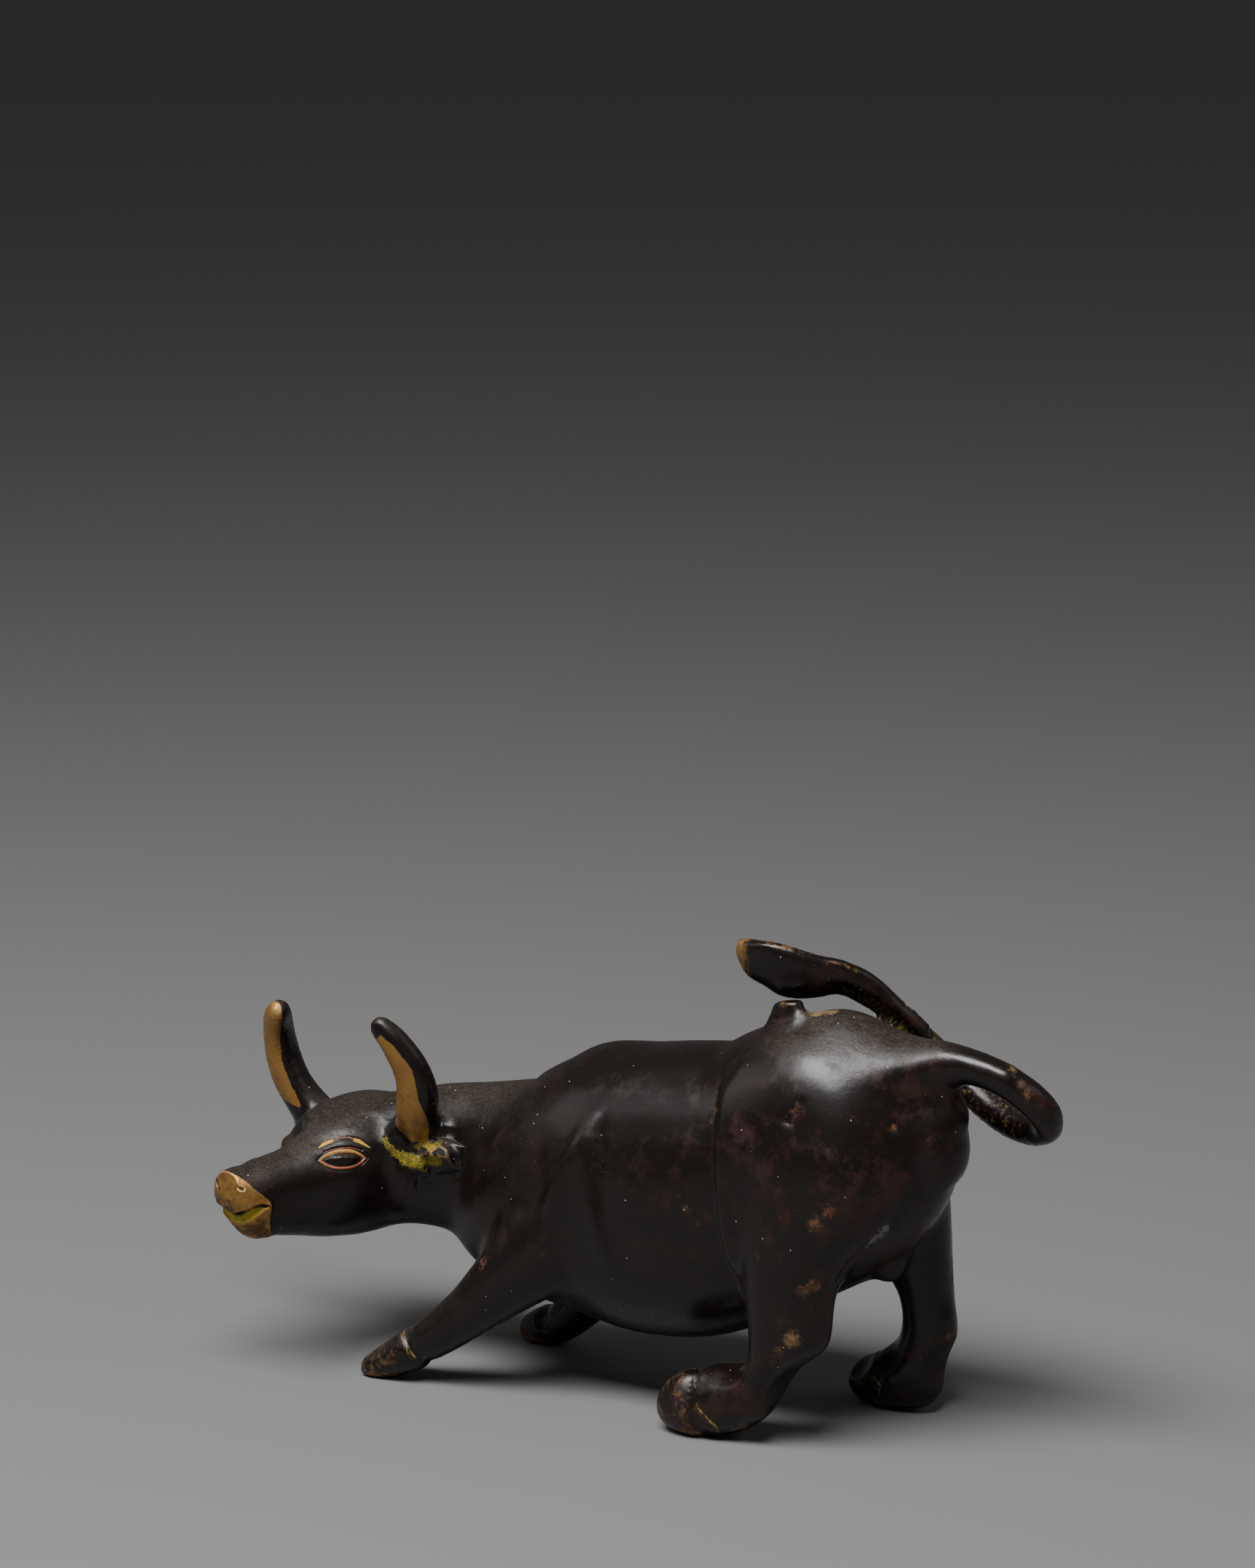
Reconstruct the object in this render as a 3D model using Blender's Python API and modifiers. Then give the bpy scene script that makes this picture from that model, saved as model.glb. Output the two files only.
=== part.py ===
"""A small cast bronze bull: a water buffalo stepping forward, head low and turned, tail looped over its back.

The figure is one casting, so it is one solid. It stands on Z = 0, faces -X, and its left side is -Y. Its
form is worked out in shares of its length: one share is a millimetre when the figure is 163 mm long. The
limbs are lofts, which are fused, carved, thinned to few faces and filed flat under the feet.
"""

import bmesh
import bpy
import numpy as np
from mathutils import Matrix, Vector

# Driving dimension
LENGTH = 0.163  # along the body, from the right eyebrow to the outer bend of the tail

# Proportions, in shares of the length
SHARES = 163.0
SHARE = LENGTH / SHARES
BODY_GRAIN = 1.0  # cell of the first fusing, which rounds the joins of the limbs
FINE_GRAIN = 0.6  # cell of the second fusing
BODY_SMOOTHING = 9
FINE_SMOOTHING = 3
TRIANGLES = 9700
CENTRE = (3.1, -10.35, 0.0)  # the middle of the figure on the ground, which becomes the origin

# Head frame: the point in the middle of the skull, the way the face points, and the way to its left cheek
SKULL = np.array((-55.4, -6.0, 36.8))
FACE_TURN = np.radians(76.0)  # how far the head is turned to its left
FACE = np.array((-np.cos(FACE_TURN), -np.sin(FACE_TURN), -0.04))
CHEEK = np.array((np.sin(FACE_TURN), -np.cos(FACE_TURN), 0.0))
CROWN = np.cross(FACE, CHEEK)
HEAD_REACH = 36.4  # from the middle of the skull to the nose
CHIN_FROM = 24.0  # the front of the muzzle slants back from here, by this much at its middle
CHIN_LEAN = 2.2
NOSE_TOP = 5.0

# The left eye, as distances ahead of, left of and above the middle of the skull
EYE = (14.4, 9.1, 5.2)
EYE_OUT = (0.417, 0.778, 0.470)  # the way the eye looks
EYE_LENGTH_WAY = (0.825, -0.537, 0.179)  # along the eye, towards the nose
EYE_HALF_LENGTH = 4.7
EYE_HALF_HEIGHT = 2.0

# Where each hoof begins, and the way its leg runs there
HOOF_LINES = (
    ((-35.7, -18.5, 7.5), (-0.8, -0.1, -0.5)),
    ((-26.5, 13.4, 4.5), (-0.95, 0.0, -0.2)),
    ((25.0, -15.5, 6.0), (-0.95, 0.0, -0.25)),
    ((44.6, 15.0, 5.0), (-0.9, 0.0, 0.4)),
)


def head_point(ahead, left, up):
    """A place on the head, in shares, from distances ahead of, left of and above the middle of the skull."""
    return tuple(SKULL + ahead * FACE + left * CHEEK + up * CROWN)


def clear_scene():
    for thing in list(bpy.data.objects):
        bpy.data.objects.remove(thing, do_unlink=True)


def new_collection(name):
    collection = bpy.data.collections.new(name)
    bpy.context.scene.collection.children.link(collection)
    return collection


def bronze():
    material = bpy.data.materials.new("dark_bronze")
    material.use_nodes = True
    shader = material.node_tree.nodes["Principled BSDF"]
    shader.inputs["Base Color"].default_value = (0.024, 0.017, 0.014, 1.0)
    shader.inputs["Metallic"].default_value = 0.85
    shader.inputs["Roughness"].default_value = 0.32
    return material


def between(stations, steps):
    """Stations of a limb with more put between them along smooth curves."""
    rows = np.array(stations, float)
    reach = np.linalg.norm(np.diff(rows[:, :3], axis=0), axis=1)
    at = np.concatenate(([0.0], np.cumsum(reach)))
    slope = np.gradient(rows, at, axis=0)
    found = []
    for i, span in enumerate(reach):
        for t in np.arange(steps) / steps:
            start = (1 + 2 * t) * (1 - t) ** 2 * rows[i] + t * (1 - t) ** 2 * span * slope[i]
            end = t * t * (3 - 2 * t) * rows[i + 1] + t * t * (t - 1) * span * slope[i + 1]
            found.append(start + end)
    found.append(rows[-1])
    return np.array(found)


def frames(centres, across):
    """The direction of a limb, and the width and height directions of its section, at each centre."""
    along = np.gradient(centres, axis=0)
    along /= np.linalg.norm(along, axis=1)[:, None]
    if across is None:
        wide = np.cross(along, (0.0, 0.0, 1.0))
    else:
        wide = across - along * (along @ np.array(across))[:, None]
    wide /= np.linalg.norm(wide, axis=1)[:, None]
    return along, wide, np.cross(wide, along)


def limb(name, stations, across=None, domes=(0.8, 0.8), sides=28, square=2.0, steps=4):
    """A closed loft. A station is its centre, then half its width and half its height, in shares."""
    rows = between(stations, steps)
    centres, half_width, half_height = rows[:, :3], rows[:, 3], rows[:, 4]
    along, wide, high = frames(centres, across)
    turn = np.linspace(0.0, 2 * np.pi, sides, endpoint=False)
    cos, sin = np.cos(turn), np.sin(turn)
    section = np.stack((np.sign(cos) * np.abs(cos) ** (2 / square), np.sign(sin) * np.abs(sin) ** (2 / square)))
    rings = []
    dome_turns = np.radians((84, 66, 44, 22))

    def ring(i, push, size):
        centre = centres[i] + along[i] * push
        flat = section[0][:, None] * wide[i] * half_width[i] + section[1][:, None] * high[i] * half_height[i]
        rings.append(centre + size * flat)

    start_depth = domes[0] * min(half_width[0], half_height[0])
    end_depth = domes[1] * min(half_width[-1], half_height[-1])
    for a in dome_turns:
        ring(0, -start_depth * np.sin(a), np.cos(a))
    for i in range(len(rows)):
        ring(i, 0.0, 1.0)
    for a in dome_turns[::-1]:
        ring(-1, end_depth * np.sin(a), np.cos(a))

    shape = bmesh.new()
    loops = [[shape.verts.new(Vector(p) * SHARE) for p in row] for row in rings]
    for lower, upper in zip(loops, loops[1:]):
        for k in range(sides):
            n = (k + 1) % sides
            shape.faces.new((lower[k], lower[n], upper[n], upper[k]))
    shape.faces.new(loops[0][::-1])
    shape.faces.new(loops[-1])
    bmesh.ops.recalc_face_normals(shape, faces=shape.faces)
    mesh = bpy.data.meshes.new(name)
    shape.to_mesh(mesh)
    shape.free()
    return mesh


def torso():
    return limb(
        "torso",
        (
            (62.0, 0.0, 57.5, 7.5, 10.0),
            (58.0, 0.0, 56.2, 12.6, 15.2),
            (53.0, 0.0, 55.0, 16.6, 20.2),
            (46.0, 0.0, 53.6, 18.6, 23.8),
            (39.5, 0.0, 51.4, 19.2, 24.8),
            (31.5, 0.0, 46.2, 19.2, 24.2),
            (23.0, 0.0, 42.8, 19.6, 25.6),
            (14.0, 0.0, 40.2, 20.0, 27.3),
            (5.0, 0.0, 38.8, 20.0, 27.3),
            (-4.0, 0.0, 37.9, 19.5, 26.3),
            (-12.0, 0.0, 36.6, 18.3, 23.8),
            (-20.0, 0.0, 35.6, 16.5, 20.8),
            (-28.0, 0.0, 36.6, 14.0, 18.2),
            (-33.0, -0.5, 38.0, 11.5, 14.8),
        ),
        square=2.15,
    )


def croup():
    """The ridge that carries the top of the rump into the root of the tail."""
    return limb(
        "croup",
        (
            (43.0, 0.0, 64.0, 14.0, 13.4),
            (49.0, 0.0, 65.6, 12.5, 11.6),
            (56.0, 0.0, 67.8, 9.0, 7.8),
            (62.5, 0.0, 70.0, 5.2, 4.8),
            (68.5, 0.0, 71.0, 3.4, 3.4),
        ),
    )


def neck():
    return limb(
        "neck",
        (
            (-20.0, 0.0, 38.5, 13.5, 17.5),
            (-31.0, -0.3, 38.4, 12.2, 15.4),
            (-40.0, -1.8, 38.6, 11.2, 13.9),
            (-48.0, -4.3, 37.8, 10.4, 12.7),
            (-54.0, -8.5, 37.0, 10.4, 12.3),
        ),
        square=2.25,
    )


def head():
    mesh = limb(
        "head",
        (
            (*head_point(-8.0, 0.0, 0.0), 10.0, 11.0),
            (*head_point(-3.0, 0.0, 0.0), 11.4, 12.6),
            (*head_point(4.0, 0.0, -0.2), 12.0, 12.9),
            (*head_point(10.0, 0.0, -0.8), 11.6, 11.9),
            (*head_point(16.0, 0.0, -1.4), 10.0, 10.0),
            (*head_point(22.0, 0.0, -1.4), 7.6, 8.4),
            (*head_point(28.0, 0.0, -1.2), 6.2, 7.2),
            (*head_point(33.0, 0.0, -1.2), 5.6, 6.3),
            (*head_point(HEAD_REACH, 0.0, -1.2), 5.3, 5.9),
        ),
        domes=(0.8, 0.25),
        square=2.45,
    )
    lean_chin_back(mesh)
    return mesh


def lean_chin_back(mesh):
    """The end of the muzzle slants, so that the chin lies behind the nose."""
    for vertex in mesh.vertices:
        place = np.array(vertex.co) / SHARE - SKULL
        share = np.clip((place @ FACE - CHIN_FROM) / (HEAD_REACH - CHIN_FROM), 0.0, 1.0)
        lean = CHIN_LEAN * share * (NOSE_TOP - place @ CROWN) / NOSE_TOP
        vertex.co -= Vector(lean * FACE * SHARE)


def horn(side):
    """A horn that rises out of the skull, bows outwards and leans forward at its tip."""
    return limb(
        "horn",
        (
            (*head_point(1.0, side * 11.0, 4.0), 4.6, 4.4),
            (*head_point(2.4, side * 14.8, 8.4), 4.3, 3.8),
            (*head_point(3.6, side * 17.8, 13.0), 4.2, 3.2),
            (*head_point(4.3, side * 19.2, 18.0), 3.9, 3.0),
            (*head_point(5.3, side * 18.8, 22.5), 3.4, 2.7),
            (*head_point(7.0, side * 16.8, 27.0), 2.9, 2.4),
            (*head_point(8.8, side * 14.2, 30.0), 2.1, 1.8),
        ),
        across=tuple(FACE - side * CHEEK),
        sides=20,
    )


def ear(side, reach):
    """A short blunt ear that points away from the head, behind and below the horn."""
    return limb(
        "ear",
        (
            (*head_point(2.4, side * 10.0, 1.6), 2.8, 3.6),
            (*head_point(2.4, side * (0.4 * reach + 6.0), 3.0), 2.7, 3.2),
            (*head_point(2.0, side * (0.8 * reach + 2.0), 4.4), 2.6, 2.8),
            (*head_point(1.6, side * reach, 5.2), 1.9, 2.0),
        ),
        across=(0.0, 0.0, 1.0),
        sides=12,
    )


def near_front_leg():
    return limb(
        "left_front_leg",
        (
            (-8.0, -11.0, 36.0, 8.0, 11.0),
            (-13.0, -14.0, 27.5, 7.5, 9.0),
            (-19.5, -16.0, 20.5, 6.2, 6.6),
            (-26.5, -17.5, 13.8, 5.0, 5.0),
            (-33.5, -18.3, 8.5, 4.6, 4.3),
            (-39.5, -19.1, 4.4, 4.5, 3.8),
            (-45.8, -20.4, 1.3, 3.6, 2.6),
        ),
        across=(0.0, 1.0, 0.0),
    )


def far_front_leg():
    return limb(
        "right_front_leg",
        (
            (-4.0, 10.0, 34.0, 8.0, 11.0),
            (-9.0, 12.5, 24.0, 7.0, 8.0),
            (-14.5, 13.2, 15.0, 5.6, 5.4),
            (-20.5, 13.4, 8.2, 4.8, 4.4),
            (-26.5, 13.4, 3.7, 4.6, 4.1),
            (-31.5, 13.2, 2.2, 4.0, 3.2),
        ),
        across=(0.0, 1.0, 0.0),
    )


def near_hind_leg():
    return limb(
        "left_hind_leg",
        (
            (43.5, -6.5, 62.0, 7.5, 10.5),
            (43.5, -8.5, 57.0, 10.0, 14.0),
            (43.5, -10.0, 47.0, 10.5, 15.3),
            (41.2, -12.8, 36.0, 8.4, 10.6),
            (41.0, -14.4, 27.5, 6.5, 8.5),
            (40.6, -15.0, 20.5, 6.0, 7.6),
            (36.8, -15.0, 14.2, 5.6, 6.2),
            (30.3, -15.2, 8.0, 5.8, 6.9),
            (23.5, -15.5, 5.1, 6.6, 6.0),
            (19.0, -15.6, 4.5, 6.0, 5.1),
        ),
        across=(0.0, 1.0, 0.0),
    )


def far_hind_leg():
    return limb(
        "right_hind_leg",
        (
            (45.0, 9.0, 56.0, 10.0, 13.0),
            (46.5, 11.0, 45.0, 9.5, 12.2),
            (50.0, 13.2, 34.0, 7.4, 8.6),
            (52.8, 14.6, 24.0, 5.6, 5.2),
            (53.3, 15.0, 15.5, 5.2, 5.1),
            (50.4, 15.0, 8.0, 5.4, 5.9),
            (46.0, 15.0, 5.1, 5.8, 5.6),
            (41.0, 15.0, 4.1, 5.0, 4.7),
        ),
        across=(0.0, 1.0, 0.0),
    )


def groin():
    """The lump that hangs between the thighs."""
    return limb(
        "groin",
        (
            (47.0, 1.0, 44.0, 7.0, 8.0),
            (48.5, 3.0, 37.0, 6.0, 7.2),
            (49.5, 4.0, 31.4, 4.4, 5.6),
        ),
        across=(0.0, 1.0, 0.0),
    )


def post():
    """The stub on the spine under the end of the tail."""
    return limb(
        "post",
        (
            (32.6, -1.8, 66.0, 6.0, 6.0),
            (32.4, -1.8, 71.0, 4.6, 4.9),
            (32.2, -1.8, 74.8, 3.0, 3.1),
            (32.0, -1.8, 77.4, 2.7, 2.8),
        ),
        across=(0.0, 1.0, 0.0),
        domes=(0.3, 0.2),
        sides=16,
    )


def tail():
    """The tail: back from the rump, down and round the right side, then forward over the back to a leaf-shaped tuft."""
    return limb(
        "tail",
        (
            (54.0, 0.5, 68.0, 6.0, 6.0),
            (62.5, 0.0, 71.0, 4.2, 4.0),
            (70.0, 0.0, 71.0, 3.2, 3.2),
            (76.3, 0.6, 69.1, 3.1, 3.1),
            (80.6, 2.6, 65.6, 3.2, 3.1),
            (81.5, 6.2, 61.4, 3.2, 3.0),
            (77.0, 10.4, 58.2, 3.0, 3.0),
            (68.3, 14.4, 58.3, 3.0, 2.9),
            (60.0, 16.8, 62.0, 2.9, 2.8),
            (52.6, 16.4, 68.2, 2.8, 2.7),
            (48.2, 13.0, 74.4, 2.8, 2.5),
            (43.6, 9.0, 79.0, 2.9, 2.4),
            (38.8, 5.2, 82.1, 3.6, 2.4),
            (32.6, 1.6, 83.2, 5.4, 2.7),
            (27.4, -0.4, 84.8, 5.2, 2.5),
            (22.7, -1.0, 87.0, 2.6, 1.6),
        ),
        across=(0.25, -0.45, 0.85),
        sides=20,
    )


def joined(name, meshes):
    """One mesh that holds all of these, still unfused."""
    shape = bmesh.new()
    for mesh in meshes:
        shape.from_mesh(mesh)
        bpy.data.meshes.remove(mesh)
    found = bpy.data.meshes.new(name)
    shape.to_mesh(found)
    shape.free()
    return found


def fused(name, mesh, grain, smoothing):
    """The one surface round overlapping lofts, with their joins rounded."""
    helper = bpy.data.objects.new(name, mesh)
    bpy.context.scene.collection.objects.link(helper)
    remesh = helper.modifiers.new("fuse", "REMESH")
    remesh.mode = "VOXEL"
    remesh.voxel_size = grain * SHARE
    smooth = helper.modifiers.new("round_joins", "SMOOTH")
    smooth.factor = 0.5
    smooth.iterations = smoothing
    graph = bpy.context.evaluated_depsgraph_get()
    found = bpy.data.meshes.new_from_object(helper.evaluated_get(graph))
    bpy.data.objects.remove(helper, do_unlink=True)
    bpy.data.meshes.remove(mesh)
    return found


def rise(value, low, high):
    """0 below low, 1 above high and smooth between."""
    share = np.clip((value - low) / (high - low), 0.0, 1.0)
    return share * share * (3 - 2 * share)


def bell(distance, width):
    return np.exp(-((distance / width) ** 2))


def from_path(points, path):
    """How far each point lies from a line through the corners of the path."""
    path = np.array(path, float)
    nearest = np.full(len(points), np.inf)
    for a, b in zip(path, path[1:]):
        span = b - a
        t = np.clip(((points - a) @ span) / (span @ span), 0.0, 1.0)
        nearest = np.minimum(nearest, np.linalg.norm(points - a - t[:, None] * span, axis=1))
    return nearest


def haunch_fronts(place):
    """The haunches stand proud of the flanks along a step that climbs to the spine."""
    heights = (23.5, 26.0, 33.0, 41.0, 52.0, 57.0, 64.0, 69.0)
    fronts = (37.0, 35.0, 30.3, 29.3, 28.4, 27.7, 26.8, 28.4)
    behind = place[:, 0] - np.interp(place[:, 2], heights, fronts)
    beside = rise(np.abs(place[:, 1]), 2.0, 15.0) * rise(place[:, 2], 24.0, 31.0)
    return 0.65 * beside * np.tanh(behind / 0.8) * np.exp(-np.abs(behind) / 4.5)


def shoulder_blades(place):
    """Two ridges that start together below the withers and part on the way down."""
    side = place[:, (0, 2)]
    front_edge = ((1.5, 58.5), (-1.1, 49.8), (-5.2, 41.2), (-8.5, 29.9))
    heights = (26.0, 31.0, 35.0, 43.0, 51.0, 59.0)
    rears = (9.4, 6.8, 5.3, 2.9, 2.2, 1.2)
    behind = place[:, 0] - np.interp(place[:, 2], heights, rears)
    beside = rise(np.abs(place[:, 1]), 9.0, 13.0) * rise(place[:, 2], 25.0, 33.0) * rise(-place[:, 2], -61.0, -46.0)
    ridge = 0.9 * bell(from_path(side, front_edge), 1.9)
    step = -0.65 * np.tanh(behind / 0.9) * np.exp(-np.abs(behind) / 3.2)
    return beside * (ridge + step)


def eye(place, side):
    """An almond lens in an incised rim, under an incised brow."""
    middle = np.array(EYE) * (1, side, 1)
    out = np.array(EYE_OUT) * (1, side, 1)
    length_way = np.array(EYE_LENGTH_WAY) * (1, side, 1)
    up = side * np.cross(length_way, out)
    offset = place - middle
    along, above = offset @ length_way, offset @ up
    beside = rise(3.5 - np.abs(offset @ out), 0.0, 1.0)
    lid = EYE_HALF_HEIGHT * (1 - (along / EYE_HALF_LENGTH) ** 2)
    rim = np.abs(above) - lid
    brow = above - 2.4 - 2.2 * (1 - (along / 5.0) ** 2)
    within = rise(-rim, 0.0, 1.2) * (np.abs(along) < EYE_HALF_LENGTH)
    ends = rise(5.4 - np.abs(along), 0.0, 0.8)
    return beside * (0.7 * within - ends * (0.7 * bell(rim, 0.6) + 0.6 * bell(brow, 0.6)))


def muzzle(place):
    """The mouth is a groove that falls towards the front, and each nostril is a slanting dent."""
    ahead, left, up = place.T
    mouth = up - (-0.4 - 0.42 * (ahead - 30.0))
    cut = -1.1 * bell(mouth, 0.6) * rise(ahead, 29.5, 31.5)
    for side in (1, -1):
        slit = ((left * side - 1.0) * 0.45 + (up - 3.0)) / 1.1
        front = rise(ahead, HEAD_REACH - 2.4, HEAD_REACH - 1.2)
        cut -= 0.9 * front * bell(slit, 0.6) * bell(left * side - 2.3, 1.6)
    return cut


def hoof_lines(place):
    """A ring is cut round each foot where the horn of the hoof begins."""
    cut = np.zeros(len(place))
    for middle, way in HOOF_LINES:
        way = np.array(way) / np.linalg.norm(way)
        offset = place - middle
        near = rise(9.0 - np.linalg.norm(offset, axis=1), 0.0, 1.0)
        beyond = offset @ way
        cut += near * (0.35 * rise(beyond, 0.0, 1.2) * rise(-beyond, -9.0, -1.0) - 0.7 * bell(beyond, 0.7))
    return cut


def carve(mesh):
    """Moves the surface in or out to cut the details, all in shares of the length."""
    flat = np.empty(3 * len(mesh.vertices), np.float32)
    mesh.vertices.foreach_get("co", flat)
    place = flat.reshape(-1, 3).astype(float) / SHARE
    mesh.vertex_normals.foreach_get("vector", flat)
    out = flat.reshape(-1, 3).astype(float)
    from_skull = place - SKULL
    on_head = np.stack((from_skull @ FACE, from_skull @ CHEEK, from_skull @ CROWN), axis=1)
    push = haunch_fronts(place) + shoulder_blades(place) + hoof_lines(place)
    push += eye(on_head, 1) + eye(on_head, -1) + muzzle(on_head)
    place += out * push[:, None]
    mesh.vertices.foreach_set("co", (place * SHARE).astype(np.float32).ravel())
    mesh.update()


def thinned(name, mesh, triangles):
    """The same surface in few triangles, larger where it is plain."""
    helper = bpy.data.objects.new(name, mesh)
    bpy.context.scene.collection.objects.link(helper)
    triangulate = helper.modifiers.new("triangles", "TRIANGULATE")
    triangulate.quad_method = "SHORTEST_DIAGONAL"
    decimate = helper.modifiers.new("fewer", "DECIMATE")
    decimate.ratio = triangles / (2.0 * len(mesh.polygons))
    graph = bpy.context.evaluated_depsgraph_get()
    found = bpy.data.meshes.new_from_object(helper.evaluated_get(graph))
    bpy.data.objects.remove(helper, do_unlink=True)
    bpy.data.meshes.remove(mesh)
    return found


def filed_soles(mesh):
    """The feet cut flat on the ground plane, and the cuts closed."""
    shape = bmesh.new()
    shape.from_mesh(mesh)
    everything = shape.verts[:] + shape.edges[:] + shape.faces[:]
    bmesh.ops.bisect_plane(shape, geom=everything, plane_co=(0, 0, 0), plane_no=(0, 0, -1), clear_outer=True)
    rim = [edge for edge in shape.edges if edge.is_boundary]
    bmesh.ops.edgeloop_fill(shape, edges=rim)
    bmesh.ops.triangulate(shape, faces=shape.faces)
    bmesh.ops.recalc_face_normals(shape, faces=shape.faces)
    shape.to_mesh(mesh)
    shape.free()


def bull():
    legs = [near_front_leg(), far_front_leg(), near_hind_leg(), far_hind_leg()]
    masses = joined("body_masses", [torso(), croup(), groin(), neck(), head(), *legs])
    body = fused("body_masses", masses, BODY_GRAIN, BODY_SMOOTHING)
    trim = [horn(1), horn(-1), ear(1, 22.0), ear(-1, 17.0), post(), tail()]
    whole = fused("whole", joined("whole", [body, *trim]), FINE_GRAIN, FINE_SMOOTHING)
    carve(whole)
    mesh = thinned("bull", whole, TRIANGLES)
    mesh.name = "bull"
    filed_soles(mesh)
    mesh.transform(Matrix.Translation(-Vector(CENTRE) * SHARE))
    return mesh


def main():
    clear_scene()
    collection = new_collection("bull_sculpture")
    mesh = bull()
    mesh.materials.append(bronze())
    mesh.shade_smooth()
    collection.objects.link(bpy.data.objects.new("bull", mesh))


main()
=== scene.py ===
"""Finishes the small cast bronze bull: its fine carving, its worn patina, and the stage it is shown on.

The solid of the part gives the form. Here a copy of it is remeshed finely, the eyes, lips, horns, ears,
hooves and the hatched underside of the tail are cut into it, and the places where the dark patina has worn
through to brass are marked on its points for the finish to read. Lengths in the carving are in millimetres.
"""

import math

import bmesh
import bpy
import numpy as np
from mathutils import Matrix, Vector, noise


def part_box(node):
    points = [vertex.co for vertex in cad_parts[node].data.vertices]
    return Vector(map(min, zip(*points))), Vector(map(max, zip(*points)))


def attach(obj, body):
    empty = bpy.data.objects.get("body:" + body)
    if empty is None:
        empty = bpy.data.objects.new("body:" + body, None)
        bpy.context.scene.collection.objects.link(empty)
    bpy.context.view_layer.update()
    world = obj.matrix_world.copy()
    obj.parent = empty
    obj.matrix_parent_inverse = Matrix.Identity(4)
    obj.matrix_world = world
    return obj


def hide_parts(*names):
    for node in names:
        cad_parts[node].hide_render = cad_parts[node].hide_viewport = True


bl_info = {
    "name": "Cast Bronze Bull",
    "version": (1, 0, 0),
    "blender": (4, 5, 0),
    "location": "View3D > Sidebar > Bull",
    "description": "Carves and patinates a small cast bronze bull and lights it in a plain studio",
    "category": "Add Mesh",
}

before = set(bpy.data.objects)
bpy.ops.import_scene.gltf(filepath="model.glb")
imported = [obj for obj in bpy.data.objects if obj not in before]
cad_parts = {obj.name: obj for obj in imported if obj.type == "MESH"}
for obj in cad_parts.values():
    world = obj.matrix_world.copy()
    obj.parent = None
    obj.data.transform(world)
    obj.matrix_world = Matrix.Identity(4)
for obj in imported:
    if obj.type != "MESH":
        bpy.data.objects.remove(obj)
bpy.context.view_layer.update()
NODE = "bull"
MM = 1000.0

# The head's own frame: ahead runs to the nose, left to the bull's left cheek, up to the crown.
SKULL = np.array((-58.5, 4.35, 36.8))
FACE_TURN = math.radians(76)
FACE = np.array((-math.cos(FACE_TURN), -math.sin(FACE_TURN), -0.04))
FACE /= np.linalg.norm(FACE)
CHEEK = np.array((math.sin(FACE_TURN), -math.cos(FACE_TURN), 0.0))
CROWN = np.cross(FACE, CHEEK)

# The near eye, in the head's frame, and the axes of the plane that it lies in.
EYE = np.array((14.4, 9.1, 5.2))
EYE_OUT = np.array((0.417, 0.778, 0.470))
EYE_WAY = np.array((0.825, -0.537, 0.179))
EYE_TILT = math.radians(-8.4)
FAR_EYE_SHIFT = np.array((-5.0, 0.8, -2.8))

# Middle points of a horn from its root to its tip: ahead, outwards, up.
HORN_LINE = np.array((
    (1.0, 11.0, 4.0), (2.4, 14.8, 8.4), (3.6, 17.8, 13.0), (4.3, 19.2, 18.0),
    (5.3, 18.8, 22.5), (7.0, 16.8, 27.0), (8.8, 14.2, 30.0),
))
HORN_RADIUS = (4.5, 4.1, 3.8, 3.5, 3.1, 2.7, 2.0)
HORN_STEP = 4.8  # length between two stations of a horn
HORN_REACH = 6.0  # all of a horn lies nearer than this to its middle line

# What a mark holds where its feature is nowhere near.
OUTSIDE = -9.0


def rise(value, start, end):
    """Goes smoothly from 0 at start to 1 at end."""
    share = np.clip((value - start) / (end - start), 0.0, 1.0)
    return share * share * (3.0 - 2.0 * share)


def bell(distance, width):
    """Is 1 at no distance and fades to nothing over about twice the width."""
    return np.exp(-(distance / width) ** 2)


def stations(path):
    """How far along a path each of its own points lies, from 0 to 1."""
    lengths = np.linalg.norm(np.diff(path, axis=0), axis=1)
    return np.concatenate(((0.0,), np.cumsum(lengths))) / lengths.sum()


def away_from(points, place):
    """Distance from each point to the place."""
    return np.linalg.norm(points - np.array(place), axis=1)


def beside(points, path):
    """Distance from each point to a path of straight stretches, how far along it lies, and the way there."""
    path = np.asarray(path, float)
    run = stations(path)
    nearest = np.full(len(points), 1e9)
    share = np.zeros(len(points))
    offset = np.zeros_like(points)
    for index in range(len(path) - 1):
        start = path[index]
        stretch = path[index + 1] - start
        part = np.clip((points - start) @ stretch / (stretch @ stretch), 0.0, 1.0)
        gap = points - start - part[:, None] * stretch
        distance = np.linalg.norm(gap, axis=1)
        closer = distance < nearest
        nearest[closer] = distance[closer]
        share[closer] = (run[index] + part * (run[index + 1] - run[index]))[closer]
        offset[closer] = gap[closer]
    return nearest, share, offset


def head_places(points):
    """The points in the head's frame."""
    away = points - SKULL
    return np.stack((away @ FACE, away @ CHEEK, away @ CROWN), axis=1)


def head_way(move):
    """A move in the head's frame as a move in the part's frame."""
    ahead, left, up = move
    return ahead * FACE + left * CHEEK + up * CROWN


def stripes(phase, spacing, width):
    """Is 1 on lines that lie a spacing apart, and fades over the width."""
    off = np.abs((phase / spacing) % 1.0 - 0.5) * spacing
    return bell(off, width)


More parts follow.
